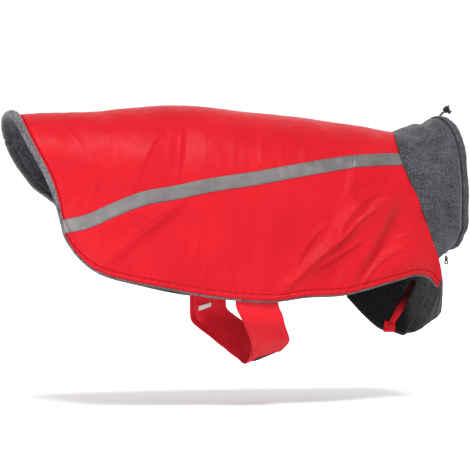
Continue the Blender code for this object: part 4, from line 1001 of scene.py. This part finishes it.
# ---------------------------------------------------------------- chest tape
# Red woven tape down the inner face of the flap, its end folded back on itself and sewn at the
# flap's hem as a small loop.
# way down and across the flap, half width of the tape
CHEST_TAPE = [
    (0.30, 0.558, 0.0042),
    (0.50, 0.590, 0.0046),
    (0.72, 0.622, 0.0060),
    (0.83, 0.642, 0.0046),
    (0.905, 0.655, 0.0062),
]
TAPE_FOLD, TAPE_FOLD_AT = (0.0185, 0.0052, 0.0148), (0.950, 0.660)
RED_TAPE_WALL, RED_FOLD_WALL, RED_TAPE_GAP = 0.0010, 0.0009, 0.0024
tape_red = Finish("tape_red", roughness=0.62, specular=0.06)
tape_red.mottle(tape_red.noise(160.0), (0.40, 0.008, 0.013), (0.52, 0.012, 0.018))
# the tape is dark above, where the flap shades it
tape_red.shade(tape_red.share(tape_red.place("Object", "Z"), -0.278, -0.314, 0.05))
tape_red.bump(tape_red.wave(330.0, 1.2), 0.35, 0.0003)

way = np.linspace(0, 1, 61)
station = np.linspace(0, 1, len(CHEST_TAPE))
v_at, u_at, half = read_table(np.column_stack([station, CHEST_TAPE]), way).T
tape_line = chest_surface(v_at, u_at)
step = 1e-3
tape_out = unit(np.cross(chest_surface(v_at + step, u_at) - tape_line,
                         chest_surface(v_at, u_at + step) - tape_line))
tape_way = unit(np.gradient(tape_line, axis=0))
tape_side = unit(np.cross(tape_out, tape_way))
tape_line = tape_line - tape_out * (CHEST_WALL + RED_TAPE_GAP)
spread = np.linspace(-1, 1, 13)[None, :, None]
tape_face = tape_line[:, None] + tape_side[:, None] * spread * half[:, None, None]
tape_face = tape_face - tape_out[:, None] * (0.0006 * (1 - spread ** 2) + 0.0004
                                             * np.sin(way * 21)[:, None, None] * spread)
tape_normals = face_normals(tape_face)
outer, inner = layered(tape_face, tape_normals, RED_TAPE_WALL, -RED_TAPE_WALL / 2, crown=16.0)
chest_tape = place_strip("chest_tape_woven", tape_face, outer, inner, tape_red)
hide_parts("chest_tape")


def folded_strip(centre, wingward, inward, upward, size):
    """A strip laid over itself: a flattened spiral section of one and a half turns, carried
    along the hem, with its lower turn a little longer."""
    angle = np.linspace(0.0, 3 * np.pi, 73)
    reach = size[2] / 2 * (1 - 0.05 * angle / np.pi)
    thick = size[1] / 2 * (0.95 - 0.13 * angle / np.pi)
    y = thick * np.sin(angle) * 0.9
    z = reach * np.sign(np.cos(angle)) * np.abs(np.cos(angle)) ** 0.6
    across = np.linspace(-0.5, 0.5, 17)
    lean = across[None] * 0.30 * size[0] * (np.cos(angle + 0.6)[:, None] + 0.5)
    return (centre + wingward * (across[None, :, None] * size[0])
            + inward * y[:, None, None] + upward * (z[:, None] + lean)[..., None])


v_at, u_at = (np.array([value]) for value in TAPE_FOLD_AT)
spot = chest_surface(v_at, u_at)[0]
hemward = unit(chest_surface(v_at + step, u_at)[0] - spot)
wingward = unit(chest_surface(v_at, u_at + step)[0] - spot)
fold_out = unit(np.cross(hemward, wingward))
fold_up = np.cross(wingward, -fold_out)
spot = spot - fold_out * (CHEST_WALL + 2 * SEAM_GAP + TAPE_FOLD[1] / 2)
fold_face = folded_strip(spot, wingward, -fold_out, fold_up, TAPE_FOLD)
fold_normals = face_normals(fold_face)
outer, inner = layered(fold_face, fold_normals, RED_FOLD_WALL, -RED_FOLD_WALL / 2, crown=16.0)
tape_fold = place_strip("chest_tape_folded_end", fold_face, outer, inner, tape_red)
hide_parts("chest_tape_fold")

# ---------------------------------------------------------------- belly strap
# Two ends of doubled red nylon, topstitched round their edges.  The near end laps under the far
# one below the belly and grips its hook tape; a small blank label is sewn inside the far end.
STRAP_WALL = 0.0022
STRAP_CELLS = 64                # across the strap
# left and right edges of the outer face, from inside the hem to the overlap under the belly
NEAR_STRAP = [
    ((-0.0320, -0.1025, -0.2580), (0.0325, -0.1025, -0.2580)),
    ((-0.0320, -0.1030, -0.2850), (0.0340, -0.1030, -0.2850)),
    ((-0.0255, -0.1010, -0.3000), (0.0415, -0.1005, -0.3010)),
    ((-0.0145, -0.0930, -0.3170), (0.0475, -0.0935, -0.3160)),
    ((-0.0030, -0.0790, -0.3350), (0.0585, -0.0790, -0.3330)),
    ((0.0075, -0.0600, -0.3515), (0.0632, -0.0660, -0.3430)),
    ((0.0145, -0.0430, -0.3630), (0.0600, -0.0490, -0.3525)),
    ((0.0166, -0.0374, -0.3670), (0.0584, -0.0430, -0.3567)),
]
FAR_STRAP = [
    ((-0.0405, 0.1020, -0.2580), (0.0190, 0.1020, -0.2580)),
    ((-0.0403, 0.1030, -0.2900), (0.0185, 0.1030, -0.2870)),
    ((-0.0385, 0.1020, -0.3135), (0.0210, 0.1020, -0.2980)),
    ((-0.0290, 0.0950, -0.3260), (0.0310, 0.0950, -0.3080)),
    ((-0.0142, 0.0780, -0.3405), (0.0400, 0.0820, -0.3170)),
    ((0.0005, 0.0500, -0.3575), (0.0500, 0.0480, -0.3320)),
    ((0.0085, 0.0150, -0.3700), (0.0570, 0.0100, -0.3460)),
    ((0.0108, -0.0130, -0.3765), (0.0590, -0.0250, -0.3560)),
    ((0.0130, -0.0330, -0.3650), (0.0590, -0.0420, -0.3490)),
    ((0.0100, -0.0470, -0.3535), (0.0590, -0.0560, -0.3390)),
]
TOPSTITCH = 0.0065              # from the strap's edge to its topstitching


def strap_surface(table, a, b):
    """Strap face: straight across from its left edge (b 0) to its right one (b 1), with both
    edges read from the table at its length a."""
    station = np.linspace(0, 1, len(table))
    edges = read_table(np.column_stack([station, [left + right for left, right in table]]), a)
    return edges[..., :3] + (edges[..., 3:] - edges[..., :3]) * b[..., None]


strap_nylon = Finish("nylon_strap", roughness=0.48, specular=0.07)
strap_nylon.mottle(strap_nylon.noise(16.0, 4.0), (0.415, 0.0085, 0.016), (0.455, 0.0105, 0.018))
# painted light: the colour is raised up to 1.36 times towards the far end, by Object Y, to
# brighten its inner face
strap_nylon.shade(strap_nylon.share(strap_nylon.place("Object", "Y"), -0.040, 0.020, 1.0, 1.36,
                                    smooth=False))
strap_nylon.bump(strap_nylon.noise(70.0, 4.0), 0.15, 0.0012)
strap_nylon.bump(strap_nylon.noise(1100.0, 2.0), 0.1, 0.0002)
strap_thread = Finish("thread_strap", roughness=0.55, specular=0.2)
strap_thread.mottle(strap_thread.noise(900.0), (0.58, 0.030, 0.035), (0.70, 0.045, 0.050))
straps = {}
for name, table in (("near", NEAR_STRAP), ("far", FAR_STRAP)):
    a_grid, b_grid = np.meshgrid(np.linspace(0, 1, 141), np.linspace(0, 1, STRAP_CELLS + 1),
                                 indexing="ij")
    face = strap_surface(table, a_grid, b_grid)
    normals = face_normals(face)
    run = np.cumsum(np.linalg.norm(np.gradient(face[:, STRAP_CELLS // 2], axis=0), axis=-1))
    run = run[:, None]
    breadth = np.linalg.norm(face[:, -1] - face[:, 0], axis=-1)[:, None]
    edge_gap = np.minimum(np.minimum(b_grid, 1 - b_grid) * breadth, (run[-1] - run) + 0 * b_grid)
    seam = 0.00045 * hump(edge_gap, TOPSTITCH, 0.0011)[..., None]
    wave = (0.0007 * np.sin(run * 58.0 + b_grid * 4.0) * np.sin(np.pi * b_grid)
            + 0.0005 * ripple(face, 0.030))
    if name == "far":
        aside = b_grid - 0.15 - (a_grid - 0.21) * 0.3
        wave = wave - 0.0045 * hump(a_grid, 0.21, 0.08) * np.exp(-np.abs(aside) / 0.05)
    flat = face + normals * wave[..., None]
    wall_in = -STRAP_WALL if name == "near" else 0.0
    outer, inner = layered(flat, normals, STRAP_WALL, wall_in, crown=30.0)
    outer, inner = outer - normals * seam, inner + normals * seam
    strap = place_strip("strap_" + name + "_nylon", face, outer, inner, strap_nylon)
    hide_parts("strap_" + name)
    straps[name] = [strap]
    cell = int(round(STRAP_CELLS * TOPSTITCH / breadth.mean()))
    last = STRAP_CELLS - cell
    stop = int(np.argmin(np.abs(run[:, 0] - (run[-1, 0] - TOPSTITCH))))
    for label, grid, out in (("outer", outer, normals), ("inner", inner, -normals)):
        path, ways = (np.concatenate([g[:stop, cell], g[stop, cell:last], g[stop:0:-1, last]])
                      for g in (grid, out))
        row = sew("strap_stitches_" + name + "_" + label, path, ways, strap_thread, thread=0.0007)
        straps[name].append(row)

# ---------------------------------------------------------------- hook tape and label
# Black hook tape sewn across the outer face of the far strap's end, its hooks towards the near
# end that it grips, and a small blank white label sewn inside the far strap below the hem.
HOOK_SPAN, HOOK_ACROSS, HOOK_ROWS, HOOK_COLUMNS = (11 / 16, 14 / 16), (0.25, 1.0), 169, 157
HOOK_HEIGHT, BACKING_EDGE, BACKING_WALL = 0.0006, 0.0003, 0.0005
LABEL_SPAN, LABEL_ACROSS, LABEL_SLANT = (0.115, 0.150), (0.235, 0.585), -0.065
LABEL_WALL, LABEL_PUFF = 0.0005, 0.0007
hook_black = Finish("hook_black", roughness=0.75, specular=0.25)
hook_black.mottle(hook_black.noise(700.0), (0.010, 0.009, 0.010), (0.028, 0.026, 0.028))
hook_black.bump(hook_black.noise(900.0), 0.5, 0.0005)
a_grid, b_grid = np.meshgrid(np.linspace(*HOOK_SPAN, HOOK_ROWS),
                             np.linspace(*HOOK_ACROSS, HOOK_COLUMNS), indexing="ij")
hook_face = strap_surface(FAR_STRAP, a_grid, b_grid)
hook_normals = face_normals(hook_face)
rows, columns = np.meshgrid(np.arange(HOOK_ROWS), np.arange(HOOK_COLUMNS), indexing="ij")
hooks = HOOK_HEIGHT * ((rows % 4 == 2) & (columns % 4 == 2))
last = HOOK_COLUMNS - 1
backing = np.minimum(1, 6 * np.minimum(columns, last - columns) / last)
backing = BACKING_EDGE + BACKING_WALL * backing
hook_out = hook_face - hook_normals * (SEAM_GAP + backing + hooks)[..., None]
hook_in = hook_face - hook_normals * (SEAM_GAP + 0.0001)
hook_uv = cloth_places(hook_face)
hook_tape = place_mesh("hook_tape", [hook_out[:, ::-1], hook_in], [hook_uv, hook_uv], hook_black)
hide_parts("strap_hook_tape")

label_white = Finish("label_white", roughness=0.45, specular=0.35)
label_white.mottle(label_white.noise(90.0), (0.56, 0.56, 0.55), (0.64, 0.64, 0.63))
label_white.bump(label_white.wave(700.0), 0.2, 0.0002)
a_grid, b_grid = np.meshgrid(np.linspace(*LABEL_SPAN, 21), np.linspace(*LABEL_ACROSS, 41),
                             indexing="ij")
label_face = strap_surface(FAR_STRAP, a_grid + LABEL_SLANT * (b_grid - np.mean(LABEL_ACROSS)),
                           b_grid)
label_normals = face_normals(label_face)
puff = LABEL_PUFF * np.sin(np.pi * (b_grid - LABEL_ACROSS[0]) / np.ptp(LABEL_ACROSS)) ** 2
label_face = label_face + label_normals * (STRAP_WALL + SEAM_GAP + puff)[..., None]
outer, inner = layered(label_face, label_normals, LABEL_WALL, 0.0, crown=20.0)
strap_label = place_strip("strap_label_blank", label_face, outer, inner, label_white)
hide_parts("strap_label")
straps["far"] += [hook_tape, strap_label]
for label, column in (("rear", 2), ("front", 38)):
    row = sew("label_stitches_" + label, outer[1:-1, column], label_normals[1:-1, column],
              red_thread, pitch=0.0016, thread=0.0004)
    straps["far"].append(row)

# ---------------------------------------------------------------- zip
# A short closed zip under the throat: two black woven tapes with a row of steel teeth between
# them, and at its top a steel slider with a wire link and a black pull that swing on its bail.
ZIP_TAPE_WIDTH, ZIP_TAPE_WALL, ZIP_FROM, ZIP_TO = 0.0150, 0.0008, 0.15, 0.97
ZIP_TAPE_DROP, TEETH_DROP = 0.0010, 0.0026          # below the collar's outer face
TOOTH_PITCH, TOOTH, TOOTH_STAGGER = 0.0014, (0.0009, 0.0046, 0.0012), 0.0006
textile_black = Finish("textile_black", roughness=0.7, sheen=0.2)
textile_black.mottle(textile_black.noise(800.0), (0.009, 0.009, 0.010), (0.024, 0.024, 0.026))
textile_black.bump(textile_black.wave(420.0, bands="DIAGONAL"), 0.4, 0.0003)
steel = Finish("steel", roughness=0.30, specular=0.5, metallic=1.0)
steel.mottle(steel.noise(400.0), (0.060, 0.060, 0.065), (0.12, 0.12, 0.125))
steel.bump(steel.noise(1500.0), 0.15, 0.0002)
plastic = Finish("plastic_black", roughness=0.42, specular=0.2)
plastic.mottle(plastic.noise(60.0), (0.006, 0.006, 0.0065), (0.010, 0.010, 0.011))
plastic.bump(plastic.noise(2200.0), 0.2, 0.0002)


def face_outwards(mesh):
    """Turns every face of a closed mesh so that it looks outwards."""
    shape = bmesh.new()
    shape.from_mesh(mesh)
    bmesh.ops.recalc_face_normals(shape, faces=shape.faces)
    shape.to_mesh(mesh)
    shape.free()


zip_v = np.linspace(ZIP_FROM, ZIP_TO, 41)
zip_front = collar_surface(zip_v, np.ones_like(zip_v))
zip_way = unit(np.gradient(zip_front, axis=0))
zip_down = unit(np.cross(zip_way, np.array([0.0, 1.0, 0.0])))
zip_down = zip_down * np.sign(-zip_down[:, 2:3])
across = np.linspace(-0.5, 0.5, 31)
zip_face = np.repeat((zip_front + zip_down * ZIP_TAPE_DROP)[:, None], len(across), axis=1)
zip_face[..., 1] = across * ZIP_TAPE_WIDTH
zip_face = zip_face + zip_down[:, None] * (0.0006 * hump(across, 0, 0.13)
                                           - 0.0010 * (2 * across) ** 2)[None, :, None]
zip_normals = face_normals(zip_face)
if (zip_normals * zip_down[:, None]).sum() < 0:
    zip_face, zip_normals = zip_face[:, ::-1], -zip_normals[:, ::-1]
outer, inner = layered(zip_face, zip_normals, ZIP_TAPE_WALL, 0.0, crown=24.0)
zip_tape = place_strip("zip_tape_woven", zip_face, outer, inner, textile_black)
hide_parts("zip_tape")

zip_run = run_along(zip_front)
tooth_count = int(zip_run[-1] / TOOTH_PITCH)
tooth_at = (np.arange(tooth_count) + 0.5) * zip_run[-1] / tooth_count
spot = at_run(tooth_at, zip_run, zip_front + zip_down * TEETH_DROP)
way_at, down_at = (unit(at_run(tooth_at, zip_run, ways)) for ways in (zip_way, zip_down))
# an eight-sided tooth, drawn in at both ends and staggered from side to side
angle = np.linspace(0, 2 * np.pi, 9)[:-1] + np.pi / 8
end = np.linspace(-1, 1, 7)[:, None]
full = np.array([0.55, 0.95, 1.0, 0.85, 1.0, 0.95, 0.55])[:, None]
stagger = np.where(np.arange(tooth_count) % 2, TOOTH_STAGGER, -TOOTH_STAGGER)[:, None, None]
own_x, own_z = np.cos(angle) * TOOTH[0] / 2 * full, np.sin(angle) * TOOTH[2] / 2 * full
teeth = (spot[:, None, None]
         + np.array([0.0, 1.0, 0.0]) * (end * TOOTH[1] / 2 + stagger)[..., None]
         + way_at[:, None, None] * own_x[..., None] + down_at[:, None, None] * own_z[..., None])
index = np.arange(tooth_count * 7 * 8).reshape(tooth_count, 7, 8)
after = np.roll(index, -1, axis=2)
sides = np.stack([index[:, :-1], index[:, 1:], after[:, 1:], after[:, :-1]], axis=-1)
teeth_mesh = bpy.data.meshes.new("zip_teeth")
teeth_mesh.from_pydata(teeth.reshape(-1, 3).tolist(), [], sides.reshape(-1, 4).tolist()
                       + index[:, 0].tolist() + index[:, -1, ::-1].tolist())
face_outwards(teeth_mesh)
zip_teeth = placed(teeth_mesh, steel)
for name, finish in (("zip_slider", steel), ("zip_link", steel), ("zip_pull", plastic)):
    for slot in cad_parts[name].material_slots:
        slot.material = finish.material

# ---------------------------------------------------------------- cord stopper and drawstring
# A moulded stopper with a sprung button above the rim at the nape.  Both ends of the braided
# drawstring come out of an eyelet in the casing and pass through it side by side.
CORD_RADIUS, CORD_EXIT = 0.0012, (0.3322, 0.0, -0.0008)
CORD_STEPS, CORD_SIDES, BRAID_TURNS, BRAID_RELIEF = 60, 24, 3600.0, 0.09
STOPPER_AT, STOPPER_TILT = (0.3437, 0.0, 0.0114), math.radians(124.0)
STOPPER_RADIUS, STOPPER_LENGTH = 0.0040, 0.0080
BUTTON_NECK, BUTTON_RADIUS, BUTTON_LENGTH = 0.0022, 0.0034, 0.0042
STRAND_SPREAD, STUB_LENGTH = 0.0022, 0.0026
STOPPER_AXIS = np.array([math.sin(STOPPER_TILT), 0.0, math.cos(STOPPER_TILT)])
STOPPER_SIDE = np.array([math.cos(STOPPER_TILT), 0.0, -math.sin(STOPPER_TILT)])


def turned(name, profile, place, node):
    """A turned piece: the radius and height of a profile, carried round the stopper's tilted
    axis by cosine and sine, with six shallow grip hollows where the profile asks for them."""
    radius, height, grip = np.array(profile).T
    angle = np.linspace(0, 2 * np.pi, 49)
    full = radius[:, None] * (1 - grip[:, None] * (0.5 + 0.5 * np.cos(6 * angle)[None]) ** 2)
    points = (np.array(place) + STOPPER_SIDE * (full * np.cos(angle))[..., None]
              + np.array([0.0, 1.0, 0.0]) * (full * np.sin(angle))[..., None]
              + STOPPER_AXIS * height[:, None, None])
    piece = place_mesh(name, points, cloth_places(points), plastic, loop=True, weld=True)
    face_outwards(piece.data)
    piece.data.set_sharp_from_angle(angle=math.radians(50))
    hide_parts(node)


half, full = STOPPER_LENGTH / 2, STOPPER_RADIUS * 1.24
turned("stopper_barrel_moulded",
       [(0.0, half, 0), (full - 0.0012, half, 0), (full - 0.0005, half - 0.0002, 0),
        (full, half - 0.0008, 0), (full, half - 0.0016, 0), (full - 0.0004, half - 0.0019, 0),
        (full - 0.0004, half - 0.0022, 0.10), (full - 0.0002, 0.0, 0.10),
        (full - 0.0004, -half + 0.0020, 0.10), (full - 0.0006, -half + 0.0012, 0),
        (full - 0.0012, -half + 0.0003, 0), (full - 0.0020, -half, 0), (0.0, -half, 0)],
       STOPPER_AT, "stopper_barrel")
long, wide = BUTTON_LENGTH, BUTTON_RADIUS
turned("stopper_button_moulded",
       [(0.0, long - 0.0005, 0), (wide * 0.6, long - 0.0004, 0), (wide - 0.0007, long, 0),
        (wide - 0.0002, long - 0.0003, 0), (wide, long - 0.0008, 0), (wide, long - 0.0014, 0),
        (wide - 0.0004, long - 0.0019, 0), (BUTTON_NECK, 0.0010, 0), (BUTTON_NECK, 0.0, 0),
        (0.0, 0.0, 0)],
       np.array(STOPPER_AT) + STOPPER_AXIS * (half + SEAM_GAP), "stopper_button")

centre, through = np.array(STOPPER_AT), -STOPPER_SIDE * (STOPPER_RADIUS - 0.0006)
for name, side in (("cord_near", -1.0), ("cord_far", 1.0)):
    shift = np.array([0.0, side * STRAND_SPREAD, 0.0])
    enter, leave = centre - through + shift, centre + through + shift
    start = np.array(CORD_EXIT)
    middle = (start + enter) / 2 + shift * 0.4 + np.array([-0.0006, 0.0, 0.0008])
    bend = np.array([0.0, side * 0.0008, 0.0])
    stub = -STOPPER_SIDE * (STUB_LENGTH + 0.0009)
    for part, ends in (("", [start + shift * 0.6, middle, enter]),
                       ("_stub", [leave, leave + stub * 0.5 + bend * 0.3, leave + stub + bend])):
        line = read_table(np.column_stack([[0, 0.5, 1], ends]),
                          np.linspace(0, 1, CORD_STEPS + 1))
        forward = unit(np.gradient(line, axis=0))
        outward = unit(np.cross(forward, np.array([0.0, 1.0, 0.0])))
        upward = unit(np.cross(outward, forward))
        run = run_along(line)
        width = np.full(len(line), 2 * CORD_RADIUS)
        width[-2:] *= (0.85, 0.35)
        twist = run[:, None] * BRAID_TURNS
        braid = tube(line, outward, upward, width, width, CORD_SIDES,
                     lambda angle: 1 + BRAID_RELIEF * np.sin(twist + 2 * angle)
                     * np.sin(twist - 2 * angle))
        braid[-1] = (braid[-1] + line[-1] * 3) / 4
        uv = grid_of(run, np.linspace(0, 2 * np.pi * CORD_RADIUS, CORD_SIDES + 1))
        cord = place_mesh(name + part + "_braid", braid[:, ::-1], uv, textile_black, loop=True)
        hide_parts(name + part)
